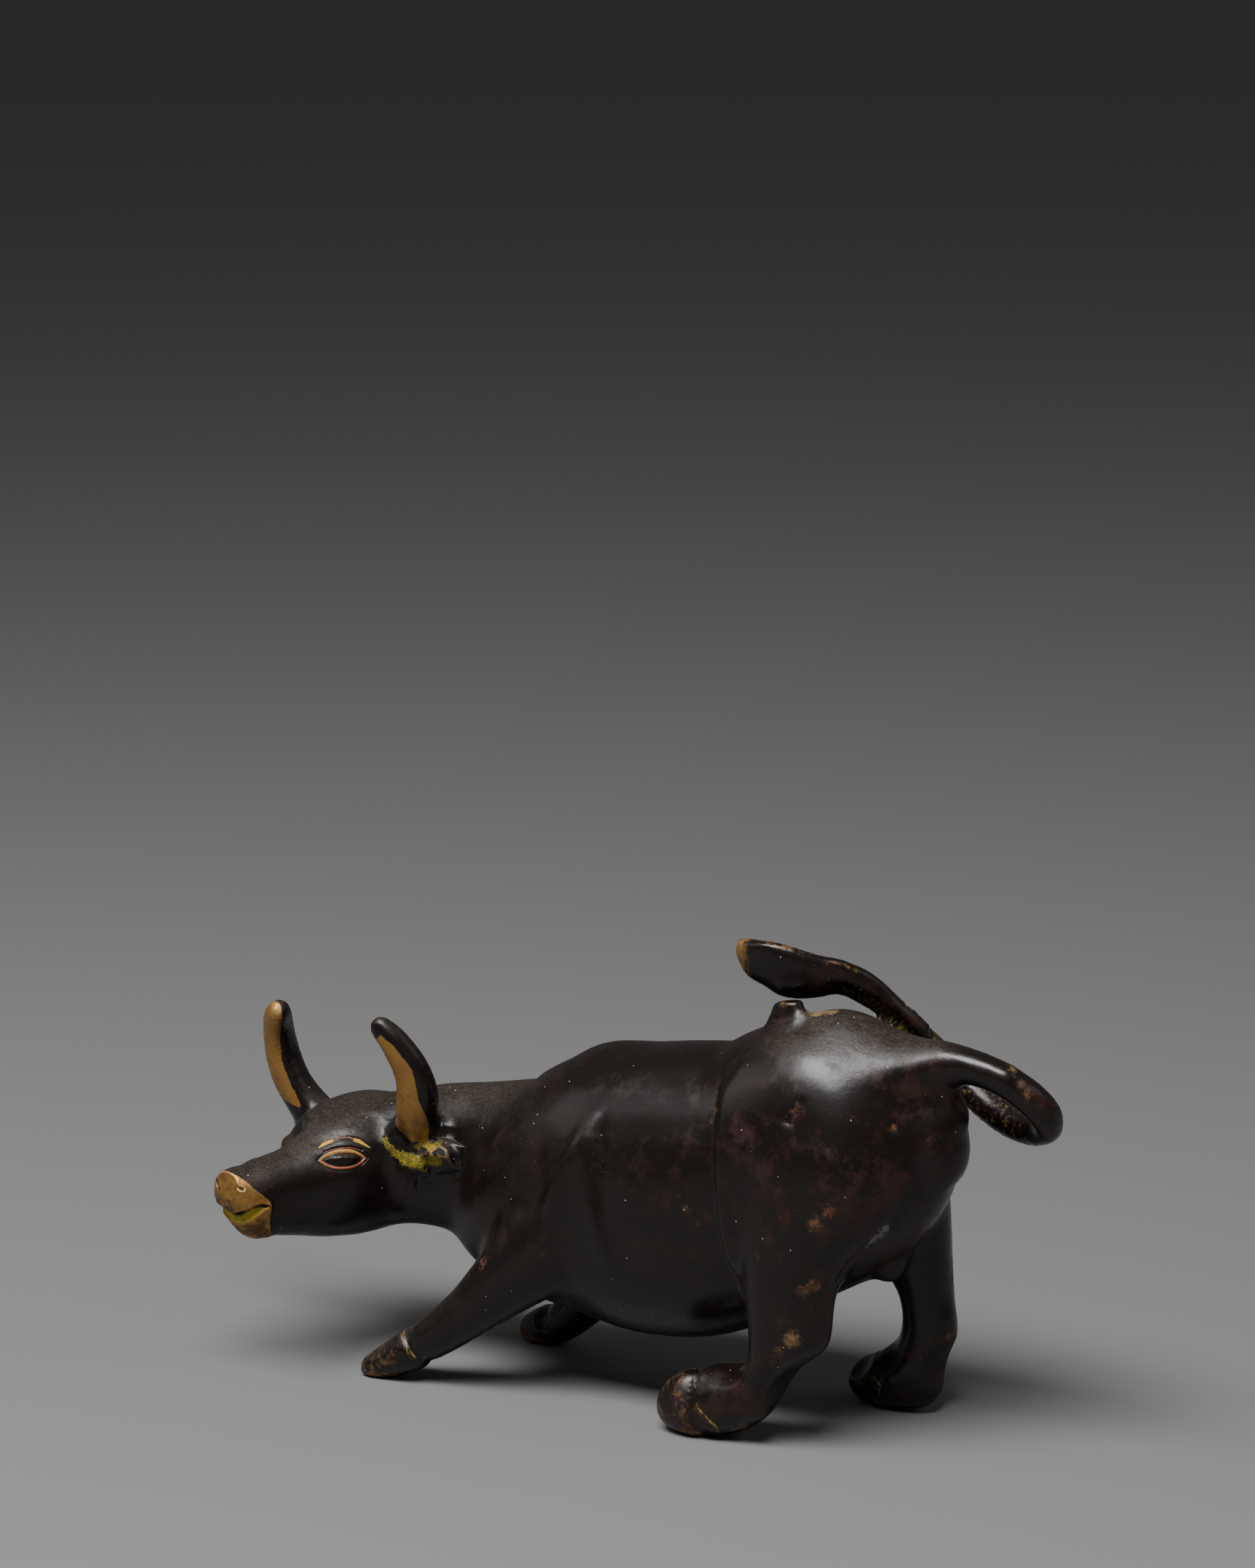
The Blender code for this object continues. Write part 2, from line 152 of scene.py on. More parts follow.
class Casting:
    """The bull's skin while it is worked: its points and normals in millimetres, and its edges."""

    def __init__(self, piece):
        self.piece = piece
        self.read()

    def read(self):
        mesh = self.piece.data
        count = len(mesh.vertices)
        flat = np.empty(count * 3)
        mesh.vertices.foreach_get("co", flat)
        self.points = flat.reshape(-1, 3) * MM
        ends = np.empty(len(mesh.edges) * 2, dtype=np.int32)
        mesh.edges.foreach_get("vertices", ends)
        self.edges = ends.reshape(-1, 2)
        self.links = np.bincount(self.edges.ravel(), minlength=count).astype(float)
        self.read_normals()

    def read_normals(self):
        mesh = self.piece.data
        flat = np.empty(len(mesh.vertices) * 3)
        mesh.vertex_normals.foreach_get("vector", flat)
        self.normals = flat.reshape(-1, 3)

    def write(self):
        """Puts the points back in the mesh, kept inside the solid's box."""
        low, high = (np.array(corner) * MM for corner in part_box(NODE))
        self.points = np.clip(self.points, low, high)
        self.piece.data.vertices.foreach_set("co", (self.points / MM).ravel())
        self.piece.data.update()
        self.read_normals()

    def mean_of_neighbours(self, values):
        first, second = self.edges.T
        if values.ndim == 1:
            total = np.bincount(first, values[second], len(values))
            total += np.bincount(second, values[first], len(values))
            return total / self.links
        return np.stack([self.mean_of_neighbours(column) for column in values.T], axis=1)

    def smooth(self, passes):
        """Evens the skin without shrinking it: each pass goes in and a little further out again."""
        for _ in range(passes):
            for step in (0.5, -0.53):
                self.points = self.points + (self.mean_of_neighbours(self.points) - self.points) * step
        self.write()

    def soften(self, passes, where):
        """Draws the points to the mean of their neighbours, which rounds off what is there."""
        for _ in range(passes):
            mean = self.mean_of_neighbours(self.points)
            self.points = self.points + (mean - self.points) * (0.5 * where)[:, None]
        self.write()

    def push(self, amount):
        """Moves each point along its normal, outwards for more than nothing."""
        self.points = self.points + self.normals * amount[:, None]
        self.write()

    def near(self, place, reach):
        """Is 1 at the place and falls smoothly to 0 at the reach."""
        share = away_from(self.points, place) / reach
        return (1.0 - np.minimum(share, 1.0) ** 2) ** 2

    def pull(self, place, reach, move, where=1.0):
        """Drags the skin round a place by a move, less and less out to the reach."""
        hold = self.near(place, reach) * where
        self.points = self.points + hold[:, None] * np.array(move)

    def file_flat(self, place, facing, where):
        """Files off what stands out past a plane through the place, where the mask says."""
        facing = np.array(facing) / np.linalg.norm(facing)
        excess = np.maximum((self.points - np.array(place)) @ facing, 0.0) * where
        self.points = self.points - excess[:, None] * facing

    def refine(self, chosen):
        """Halves the grain of the skin where the points are chosen."""
        mesh = self.piece.data
        work = bmesh.new()
        work.from_mesh(mesh)
        work.verts.ensure_lookup_table()
        edges = [edge for edge in work.edges if chosen[edge.verts[0].index] and chosen[edge.verts[1].index]]
        bmesh.ops.subdivide_edges(work, edges=edges, cuts=1, use_grid_fill=True)
        work.to_mesh(mesh)
        work.free()
        self.read()

    def keep(self, name, values):
        """Stores one number on each point, for the finish to read."""
        attribute = self.piece.data.attributes.new(name, "FLOAT", "POINT")
        attribute.data.foreach_set("value", values.astype(np.float32))


def select_only(piece):
    """Leaves nothing selected but the piece, which becomes the active object."""
    bpy.ops.object.select_all(action="DESELECT")
    piece.select_set(True)
    bpy.context.view_layer.objects.active = piece


def copy_of_solid(name):
    """A loose copy of the part's solid with its triangles joined."""
    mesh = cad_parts[NODE].data.copy()
    mesh.name = name
    mesh.materials.clear()
    work = bmesh.new()
    work.from_mesh(mesh)
    bmesh.ops.remove_doubles(work, verts=work.verts, dist=1e-6)
    work.to_mesh(mesh)
    work.free()
    piece = bpy.data.objects.new(name, mesh)
    bpy.context.scene.collection.objects.link(piece)
    return piece


def lay_skin(piece, grain):
    """Rounds off the facets of the solid and gives it an even skin of small quads."""
    select_only(piece)
    rounding = piece.modifiers.new("rounding", "SUBSURF")
    rounding.levels = 1
    rounding.render_levels = 1
    bpy.ops.object.modifier_apply(modifier=rounding.name)
    skin = piece.modifiers.new("skin", "REMESH")
    skin.mode = "VOXEL"
    skin.voxel_size = grain
    skin.use_smooth_shade = True
    bpy.ops.object.modifier_apply(modifier=skin.name)


def eye_plane(places, side=1):
    """Along, up and out of the eye's plane; along runs to the nose. Side -1 is the far eye."""
    mirror = np.array((1.0, side, 1.0))
    up_way = np.cross(EYE_WAY, EYE_OUT)
    away = places * mirror - EYE - (FAR_EYE_SHIFT if side < 0 else 0.0)
    along = away @ EYE_WAY
    up = away @ up_way
    out = away @ EYE_OUT
    turned_along = along * math.cos(EYE_TILT) + up * math.sin(EYE_TILT)
    turned_up = up * math.cos(EYE_TILT) - along * math.sin(EYE_TILT)
    return turned_along, turned_up, out


def almond(along, up, half_length, above, below):
    """Distance inside an almond outline, in its plane; less than nothing outside."""
    share = np.clip(np.abs(along / half_length), 0.0, 1.4)
    height = np.where(up > 0, above, below)
    edge = height * (1.0 - share ** 2.5)
    slope = 2.5 * height / half_length * share ** 1.5
    return (edge - np.abs(up)) / np.sqrt(1.0 + slope ** 2)


def stroke(along, up, points):
    """Distance inside a drawn line of changing width: points are along, up, half width."""
    points = np.asarray(points, float)
    places = np.stack((along, up), axis=1)
    distance, share, gap = beside(places, points[:, :2])
    return np.interp(share, stations(points[:, :2]), points[:, 2]) - distance, share, gap[:, 1]


def horn_places(places, side):
    """Station along the horn from 0 to 6, angle round it in degrees, and distance from its middle line."""
    line = HORN_LINE * np.array((1.0, side, 1.0))
    best = np.full(len(places), 1e9)
    station = np.zeros(len(places))
    angle = np.zeros(len(places))
    last = len(line) - 2
    for index in range(len(line) - 1):
        start = line[index]
        stretch = line[index + 1] - start
        lowest = -0.6 if index == 0 else 0.0
        highest = 1.6 if index == last else 1.0
        part = np.clip((places - start) @ stretch / (stretch @ stretch), lowest, highest)
        gap = places - start - part[:, None] * stretch
        distance = np.linalg.norm(gap, axis=1)
        way = stretch / np.linalg.norm(stretch)
        across = np.array((1.0, -side, 0.0))
        across -= (across @ way) * way
        across /= np.linalg.norm(across)
        outwards = np.cross(way, across) * side
        closer = distance < best
        best[closer] = distance[closer]
        station[closer] = index + part[closer]
        angle[closer] = np.degrees(np.arctan2(gap @ outwards, gap @ across))[closer]
    return station, angle, best


def carve_eye(skin, side):
    """Cuts one eye: a domed lens in a raised almond rim, the fold over it and the brow band."""
    places = head_places(skin.points)
    along, up, out = eye_plane(places, side)
    near = (np.abs(along) < 9) & (np.abs(up) < 8) & (np.abs(out) < 4)
    lens = almond(along, up, *LENS)
    rim = almond(along, up, *RIM)
    lid = np.minimum(rim, -lens)
    brow, brow_share, brow_side = stroke(along, up, BROW)
    fold = stroke(along, up, FOLD)[0]
    if side < 0:
        # the far side is plainer: it has no brow band and no fold
        brow = np.full(len(places), OUTSIDE)
        fold = brow
    cut = 0.34 * rise(lens, 0.0, 1.3)
    cut -= 0.22 * bell(lens - 0.06, 0.16)
    cut += 0.16 * rise(lid, -0.05, 0.2)
    cut -= 0.16 * bell(rim + 0.12, 0.2)
    cut -= 0.12 * bell(brow, 0.14) * (brow > -0.5)
    cut += 0.07 * rise(brow, 0.0, 0.2)
    cut -= 0.16 * bell(np.minimum(fold, 0.0), 0.16)
    cut[~near] = 0.0
    skin.push(cut)
    marks = (lens, lid, up, brow, brow_share, brow_side, fold)
    elsewhere = (OUTSIDE, OUTSIDE, 0.0, OUTSIDE, 0.5, 0.0, OUTSIDE)
    return [np.where(near, mark, value) for mark, value in zip(marks, elsewhere)]


# Outlines of the lens and of the rim round it: half length, height above and below their middle line.
LENS = (4.0, 1.2, 1.42)
RIM = (4.65, 1.95, 1.95)
# The brow band and the fold under it, in the eye's plane: along, up, half width.
BROW = (
    (4.35, 2.55, 0.04), (3.1, 3.35, 0.33), (1.2, 3.95, 0.30), (-1.5, 4.05, 0.27),
    (-3.5, 3.38, 0.36), (-5.2, 2.15, 0.10),
)
FOLD = ((3.3, 1.65, 0.03), (1.7, 2.12, 0.06), (-0.1, 2.28, 0.09), (-2.0, 2.15, 0.09), (-3.8, 1.55, 0.03))

# Lines on the head, in its own frame; the edge of the bare muzzle as heights and how far ahead it is.
NOSE_EDGE_UP = (-8.0, -6.5, -4.4, -2.7, -1.2, 0.1, 1.5, 2.8, 4.2, 5.0, 6.0)
NOSE_EDGE_AHEAD = (27.6, 28.6, 29.5, 29.6, 29.3, 29.7, 31.0, 32.3, 33.0, 33.7, 34.6)
NEAR_NOSTRIL = ((35.6, 0.8, 4.3), (35.4, 2.0, 3.8), (35.1, 3.0, 3.4), (34.4, 3.9, 3.1))
FAR_NOSTRIL = ((35.4, -2.6, 3.6), (35.7, -1.9, 2.7), (35.9, -1.5, 1.8))
# The mouth from its left corner to its middle: ahead, left, up, half height. The right side mirrors it.
HALF_MOUTH = (
    (29.7, 5.75, -0.95, 0.12), (31.0, 5.4, -1.0, 0.75), (32.6, 4.9, -1.5, 1.15), (33.5, 3.4, -2.4, 1.35),
    (33.8, 1.7, -3.2, 1.3), (33.7, 0.0, -3.6, 1.2),
)
MOUTH = np.array([*HALF_MOUTH, *((ahead, -left, up, half) for ahead, left, up, half in HALF_MOUTH[-2::-1])])

# Drags on the head, in its own frame: place, reach, move.
HEAD_DRAGS = (
    # far side of the brow and of the bridge of the nose
    ((16.0, -6.5, 7.0), 7.0, (-1.3, 2.2, -0.9)),
    ((21.5, -3.0, 7.0), 5.5, (0.0, 0.2, -0.9)),
    # foot of the near horn, top of the nose, chin, line of the jaw
    ((5.8, 15.0, 10.5), 4.5, (-0.9, 0.6, 0.0)),
    ((33.5, -1.0, 5.4), 5.0, (0.2, 0.0, 0.9)),
    ((30.5, 1.5, -6.5), 6.0, (0.0, 0.0, -1.2)),
    ((19.5, 5.0, -6.5), 7.0, (0.0, 0.0, 0.8)),
    # tips of the horns
    ((8.8, -14.2, 30.5), 8.0, (0.0, 0.0, -1.8)),
    ((8.8, 14.2, 30.5), 7.0, (0.0, 0.0, 0.9)),
)
# Swellings and hollows on the head, in its own frame: place, reach, height.
HEAD_SWELLINGS = (
    # stump of the ear, knob behind the horn, socket beside the foot of the horn
    ((1.2, 21.6, 5.2), 4.4, 1.2),
    ((0.9, 22.0, 4.2), 4.0, 0.9),
    ((-0.3, 20.3, 9.6), 3.0, 1.0),
    ((6.3, 15.2, 8.0), 3.4, -1.0),
)
# The front plate of the muzzle: a point on it and the way it faces, in the head's frame.
NOSE_PLATE = ((35.3, 0.3, 2.6), (0.92, 0.10, 0.30))
# The ear is whittled to these flats: a point on each, and the way it faces, in the head's frame.
EAR_FLATS = (
    ((2.9, 22.4, 6.4), (0.75, 0.45, 0.48)),
    ((2.6, 22.2, 4.6), (0.80, 0.35, -0.48)),
    ((1.0, 25.0, 5.6), (0.25, 0.95, 0.2)),
    ((0.8, 22.2, 8.0), (0.1, 0.3, 0.95)),
    ((1.4, 22.4, 2.3), (0.3, 0.35, -0.9)),
)
JAW_FOLDS = (
    ((3.8, 17.0, 2.0), (3.3, 15.6, -0.8), (2.6, 15.2, -4.8)),
    ((2.8, 20.2, 1.6), (2.3, 18.2, -1.4), (1.6, 17.2, -5.2)),
    ((1.6, 22.2, 1.4), (0.9, 20.4, -1.6), (0.2, 19.2, -4.6)),
)
FLAP_EDGE = ((9.2, 3.4, 11.3), (6.4, 5.6, 11.7), (4.4, 7.6, 11.4), (4.7, 10.4, 9.4))
RESIDUE_BAND = ((6.0, 11.6, 7.2), (5.6, 14.0, 4.9), (4.9, 17.2, 4.2), (4.2, 20.4, 3.9), (3.0, 21.6, 4.6))
RESIDUE_PATCH = ((4.0, 18.4, 7.2), (3.2, 20.4, 7.6), (2.2, 21.4, 8.2))


def shape_head(skin):
    """Drags the head into its last shape and whittles the ear."""
    for place, reach, move in HEAD_DRAGS:
        skin.pull(SKULL + head_way(place), reach, head_way(move))
    skin.write()
    for place, reach, height in HEAD_SWELLINGS:
        skin.push(height * skin.near(SKULL + head_way(place), reach))
    at_ear = skin.near(SKULL + head_way((1.0, 22.4, 5.4)), 5.6) > 0.08
    for place, facing in EAR_FLATS:
        skin.file_flat(SKULL + head_way(place), head_way(facing), at_ear)
    skin.write()
    places = head_places(skin.points)
    cut = np.zeros(len(places))
    for fold in JAW_FOLDS:
        distance, share, gap = beside(places, fold)
        ends = rise(share, 0.0, 0.45) * rise(share, 1.0, 0.6)
        cut -= 0.3 * bell(distance, 0.9) * ends
        cut += 0.15 * bell(distance - 1.5, 0.9) * ends
    flap, share, gap = beside(places, FLAP_EDGE)
    behind = (gap @ np.array((-0.5, -0.3, 0.6))) > 0
    cut += 0.16 * bell(flap, 1.4) * behind * rise(share, 0.0, 0.1) * rise(share, 1.0, 0.9)
    station, _, distance = horn_places(places, -1)
    cut += 0.35 * (distance < HORN_REACH) * rise(station, 1.0, 2.4)
    skin.push(cut)
    place, facing = NOSE_PLATE
    skin.file_flat(SKULL + head_way(place), head_way(facing), places[:, 2] > -2.4)
    skin.write()


def past_nose_edge(places):
    """How far each point lies ahead of the edge of the bare front of the muzzle."""
    return places[:, 0] - np.interp(places[:, 2], NOSE_EDGE_UP, NOSE_EDGE_AHEAD)


def carve_muzzle(skin):
    """Cuts the mouth with its overhanging upper lip and the slits of the nostrils."""
    plate = past_nose_edge(head_places(skin.points))
    skin.push(0.12 * bell(plate - 0.2, 0.45) * (plate > -1.0))
    places = head_places(skin.points)
    near = places[:, 0] > 26.0
    distance, share, gap = beside(places, MOUTH[:, :3])
    half = np.interp(share, stations(MOUTH[:, :3]), MOUTH[:, 3])
    height = gap[:, 2]
    inside = half - distance
    slit = half * 0.62 - height
    cut = -0.55 * rise(inside, 0.0, 0.45)
    cut -= 0.65 * bell(slit, 0.32) * rise(inside, -0.1, 0.3)
    cut += 0.22 * bell(inside + 0.35, 0.35) * (height > 0)
    nostrils = np.minimum(beside(places, NEAR_NOSTRIL)[0], beside(places, FAR_NOSTRIL)[0])
    cut -= 0.5 * bell(nostrils, 0.24)
    cut += 0.06 * bell(nostrils - 0.55, 0.3)
    cut[~near] = 0.0
    skin.push(cut)
    return np.where(near, inside, OUTSIDE), np.where(near, slit, OUTSIDE), np.where(near, nostrils, -OUTSIDE)


def strip_of_horn(places, side):
    """Distance inside the bare strip down the front of a horn."""
    station, angle, distance = horn_places(places, side)
    radius = np.interp(station, range(7), HORN_RADIUS)
    outer_edge, inner_edge, (low, high) = NEAR_STRIP if side > 0 else FAR_STRIP
    outer = np.interp(station, *outer_edge)
    inner = np.interp(station, *inner_edge)
    round_way = np.minimum(outer - angle, angle - inner) * np.radians(1.0) * radius
    inside = np.minimum(round_way, np.minimum(station - low, high - station) * HORN_STEP)
    inside[distance > 7.0] = OUTSIDE
    inside[(station < 0.9) & (distance > 5.0)] = OUTSIDE
    return inside


# The bare strips: stations and angles of the outer edge, those of the inner edge, lowest and highest station.
NEAR_STRIP = (
    ((1.39, 1.84, 2.13, 2.59, 3.0, 3.47, 3.9, 4.31, 4.86, 5.45, 5.93),
     (136, 136, 130, 112, 95, 98, 101, 99, 91, 81, 78)),
    ((1.2, 2.0, 5.0, 6.2), (-30.0, -38.0, -30.0, 60.0)), (1.36, 5.8),
)
FAR_STRIP = (
    ((1.0, 1.7, 2.6, 5.0, 6.0), (12.0, 55.0, 92.0, 112.0, 112.0)),
    ((1.16, 1.52, 2.1, 2.57, 3.29, 4.12, 4.64, 5.65), (4, -2, -3, 0, -2, -7, -14, -22)), (1.0, 6.6),
)

# The upper edge of each hoof, and the way that its hoof lies from there.
HOOF_LINES = (
    ((-42.6, -6.5, 10.6), (-41.2, -10.4, 9.5), (-39.6, -11.9, 8.2), (-38.1, -12.3, 6.4), (-36.6, -11.4, 4.4)),
    ((-36.0, 18.4, 7.6), (-33.4, 19.6, 6.2), (-31.2, 20.2, 4.9), (-29.3, 20.0, 3.4), (-28.0, 18.8, 2.0)),
    ((17.6, -2.4, 12.0), (19.6, -5.6, 11.2), (21.4, -8.9, 10.2), (22.4, -10.5, 8.6), (23.0, -11.2, 6.6),
     (24.4, -11.0, 5.4), (26.0, -10.2, 3.6), (26.6, -9.4, 2.2)),
    ((40.6, 23.2, 10.4), (40.8, 22.4, 8.2), (41.9, 21.0, 6.8), (43.2, 19.8, 5.3), (43.6, 18.8, 3.2)),
)
HOOF_FORWARD = ((-0.8, -0.5, -0.4), (-0.8, 0.5, -0.3), (-0.9, -0.1, 0.1), (-0.9, -0.2, 0.0))
# Pits of the casting: place, radius.
PITS = (
    ((40.9, -6.3, 64.6), 0.7), ((40.3, -6.7, 63.0), 0.8), ((39.7, -7.4, 61.2), 0.9),
    ((38.7, -7.5, 61.6), 0.7), ((55.8, 1.2, 60.4), 0.7), ((23.4, -4.6, 60.4), 0.6),
)
# Worn and stained spots on the left side: place, radius, then 0 for coppery pink up to 1 for pale brass.
SPOTS = (
    ((41.7, -9.7, 22.2), 1.9, 0.7), ((39.6, -10.1, 19.6), 1.2, 0.6), ((38.0, -10.4, 17.4), 0.8, 0.5),
    ((45.4, -8.0, 32.2), 1.5, 0.35), ((43.6, -8.8, 31.4), 1.2, 0.3), ((47.4, -6.8, 33.0), 0.9, 0.35),
    ((35.0, -9.6, 36.4), 0.7, 0.8), ((45.8, -8.6, 44.0), 1.6, 0.25), ((48.0, -8.0, 46.4), 1.3, 0.3),
    ((36.4, 8.6, 77.0), 2.2, 0.9), ((38.8, 8.8, 77.6), 1.4, 0.9), ((74.6, 10.3, 71.7), 1.0, 0.9),
    ((77.9, 9.7, 68.1), 1.1, 0.6), ((76.6, 9.6, 69.8), 0.8, 0.5), ((62.8, 23.0, 57.6), 1.1, 0.8),
    ((54.8, 24.2, 15.8), 1.3, 0.7), ((53.6, 22.6, 20.8), 0.7, 0.5), ((53.0, 22.0, 23.4), 0.6, 0.4),
    ((40.9, -6.3, 64.6), 0.7, 0.1), ((40.3, -6.7, 63.0), 0.8, 0.1), ((39.7, -7.4, 61.2), 1.0, 0.1),
    ((38.7, -7.5, 61.6), 0.8, 0.1), ((55.8, 1.2, 60.4), 0.8, 0.1), ((22.6, -4.6, 60.6), 0.9, 0.4),
    ((22.9, -5.6, 58.4), 0.6, 0.4), ((30.7, -7.6, 3.4), 1.2, 0.8), ((29.0, -7.9, 2.4), 0.8, 0.9),
    ((33.0, -7.8, 5.6), 0.8, 0.5), ((19.4, -9.2, 42.4), 0.9, 0.5), ((21.6, -9.4, 40.2), 0.8, 0.5),
    ((17.4, -9.6, 44.6), 0.6, 0.5), ((-23.7, -10.2, 25.8), 1.1, 0.3), ((-10.8, -10.2, 29.2), 0.7, 0.6),
)
HAUNCH_CREASE = (
    (30.2, 4.2, 74.6), (26.0, 1.8, 70.6), (22.6, 0.6, 67.2), (22.9, -3.0, 62.8), (23.6, -6.6, 56.2),
    (24.4, -8.1, 49.0), (25.3, -8.3, 41.2), (26.2, -7.4, 34.6), (28.2, -6.2, 29.4), (32.4, -8.6, 26.8),
)
FRONT_RIDGE = (
    (-1.5, -4.1, 58.1), (-3.6, -7.6, 52.6), (-6.6, -9.2, 46.8), (-9.4, -9.6, 40.6), (-11.2, -10.4, 31.0),
)
BACK_RIDGE = (
    (-1.4, -4.2, 57.8), (-0.7, -6.6, 53.7), (0.2, -8.5, 46.4), (0.4, -9.5, 41.2), (1.8, -9.7, 34.9),
    (3.9, -8.8, 29.7), (5.4, -7.6, 25.9),
)
GROIN_LINE = (
    (58.0, 0.8, 47.2), (56.2, 0.4, 43.6), (53.8, -0.8, 40.4), (50.4, -2.0, 36.6), (47.4, -2.7, 32.4),
)
TAIL_LINE = (
    (50.9, 10.9, 68.0), (59.4, 10.4, 71.0), (66.9, 10.4, 71.0), (73.2, 11.0, 69.1), (77.5, 13.0, 65.6),
    (78.4, 16.6, 61.4), (73.9, 20.8, 58.2), (65.2, 24.8, 58.3), (56.9, 27.2, 62.0), (49.5, 26.8, 68.2),
    (45.1, 23.4, 74.4), (40.5, 19.4, 79.0), (35.7, 15.6, 82.1), (29.5, 12.0, 83.2), (24.3, 10.0, 84.8),
    (19.6, 9.4, 87.0),
)


# Drags that give the legs, the stub and the tuft their last shape: place, reach, move.
DRAGS = (
    # left hind leg: instep, back of the pastern, hock, dome of the hoof, heel
    ((28.0, -7.5, 16.4), 8.5, (1.6, 0.0, -2.6)),
    ((27.5, -3.5, 16.5), 6.0, (0.6, 0.0, -1.1)),
    ((41.5, -6.0, 13.8), 8.5, (-2.4, 0.0, 0.2)),
    ((38.5, -6.0, 9.8), 6.5, (-1.4, 0.0, 0.0)),
    ((46.0, -4.5, 21.0), 9.0, (0.9, 0.0, -0.2)),
    ((18.0, -8.0, 10.4), 6.0, (-0.3, -0.7, 0.7)),
    ((20.0, -6.0, 11.3), 5.0, (0.0, -0.3, 0.4)),
    ((34.5, -8.0, 5.5), 4.0, (1.0, -0.7, 0.0)),
    # right hind leg: heel, top and underside of the toe, back of the fetlock, hock
    ((50.8, 23.5, 2.8), 7.5, (1.0, 0.6, -1.2)),
    ((37.4, 21.6, 8.0), 4.5, (-0.3, 0.0, -1.9)),
    ((37.6, 20.6, 1.4), 5.0, (0.0, 0.0, 2.0)),
    ((54.4, 24.0, 9.6), 6.5, (-1.5, 0.0, 0.0)),
    ((55.4, 24.6, 16.4), 7.0, (1.0, 0.0, 0.0)),
    # swelling between the hind legs, corner of the rump, crown of the haunch, hollow of the spine
    ((50.5, 12.0, 31.0), 5.0, (0.0, 0.0, -1.8)),
    ((61.5, 10.0, 63.0), 7.0, (2.3, 0.8, 0.3)),
    ((42.0, 9.0, 77.0), 10.0, (0.0, 0.0, 1.2)),
    ((13.0, 9.4, 68.6), 12.0, (0.0, 0.0, 1.2)),
    ((-8.0, 9.0, 66.0), 10.0, (-0.6, 0.0, 0.8)),
)
STUB_DRAG = ((31.2, 6.8, 77.4), 6.0, (1.6, 0.0, 2.4))
# Drags on the leaf of the tail: its back, and its belly from the tuft to the neck of the leaf.
LEAF_DRAGS = (
    ((38.8, 15.0, 84.0), 6.5, (0.0, 0.0, 0.9)),
    ((43.2, 19.0, 80.2), 8.0, (0.5, 0.0, 1.3)),
    ((28.0, 10.6, 79.6), 5.5, (0.0, 0.2, -1.9)),
    ((33.0, 12.6, 79.8), 5.5, (0.0, 0.2, -1.6)),
    ((22.8, 8.2, 83.4), 5.0, (-1.0, 0.0, -1.1)),
)
# Where the drags are rounded off: place, reach, passes.
EVENING = (
    ((39.5, -6.0, 14.5), 10.0, 6), ((54.0, 24.0, 12.5), 9.0, 6), ((31.8, -9.4, 15.2), 6.5, 30),
    ((41.5, -8.5, 14.8), 5.5, 16), ((54.9, 24.0, 19.6), 6.0, 16), ((47.5, 20.8, 20.7), 8.0, 30),
    ((46.5, 20.6, 13.5), 7.0, 24), ((44.2, 20.9, 79.3), 6.5, 14), ((47.0, -3.5, 67.0), 9.0, 30),
)
TAIL_ROOT = ((47.5, -2.3, 67.9), (54.3, 3.1, 70.3), (60.0, 6.1, 71.7), (66.6, 7.4, 72.0), (73.4, 8.4, 70.9))
LEAF_LOWER_EDGE = (
    (27.6, 9.6, 80.4), (31.4, 11.0, 81.6), (35.4, 12.6, 82.4), (38.6, 14.8, 81.8), (42.6, 18.2, 79.0),
    (46.2, 21.4, 75.6), (49.0, 24.2, 71.6),
)
LEAF_UPPER_EDGE = (
    (24.4, 7.4, 88.6), (28.8, 8.7, 88.4), (32.4, 10.8, 87.6), (35.6, 12.6, 86.4), (39.6, 15.4, 84.0),
)
LEAF_UNDERSIDE = np.array((0.25, 0.55, -0.8))
LEAF_EDGE_LENGTH = 30.0
LEAF_HOLLOW = (25.2, 7.6, 84.0)
LEAF_PART = TAIL_LINE[9:]
TUFT_PART = TAIL_LINE[12:]
STUB = np.array((32.8, 6.9, 78.9))
SWEEP = (55.0, -1.0, 66.0)  # middle of the sweep from the rump to the root of the tail


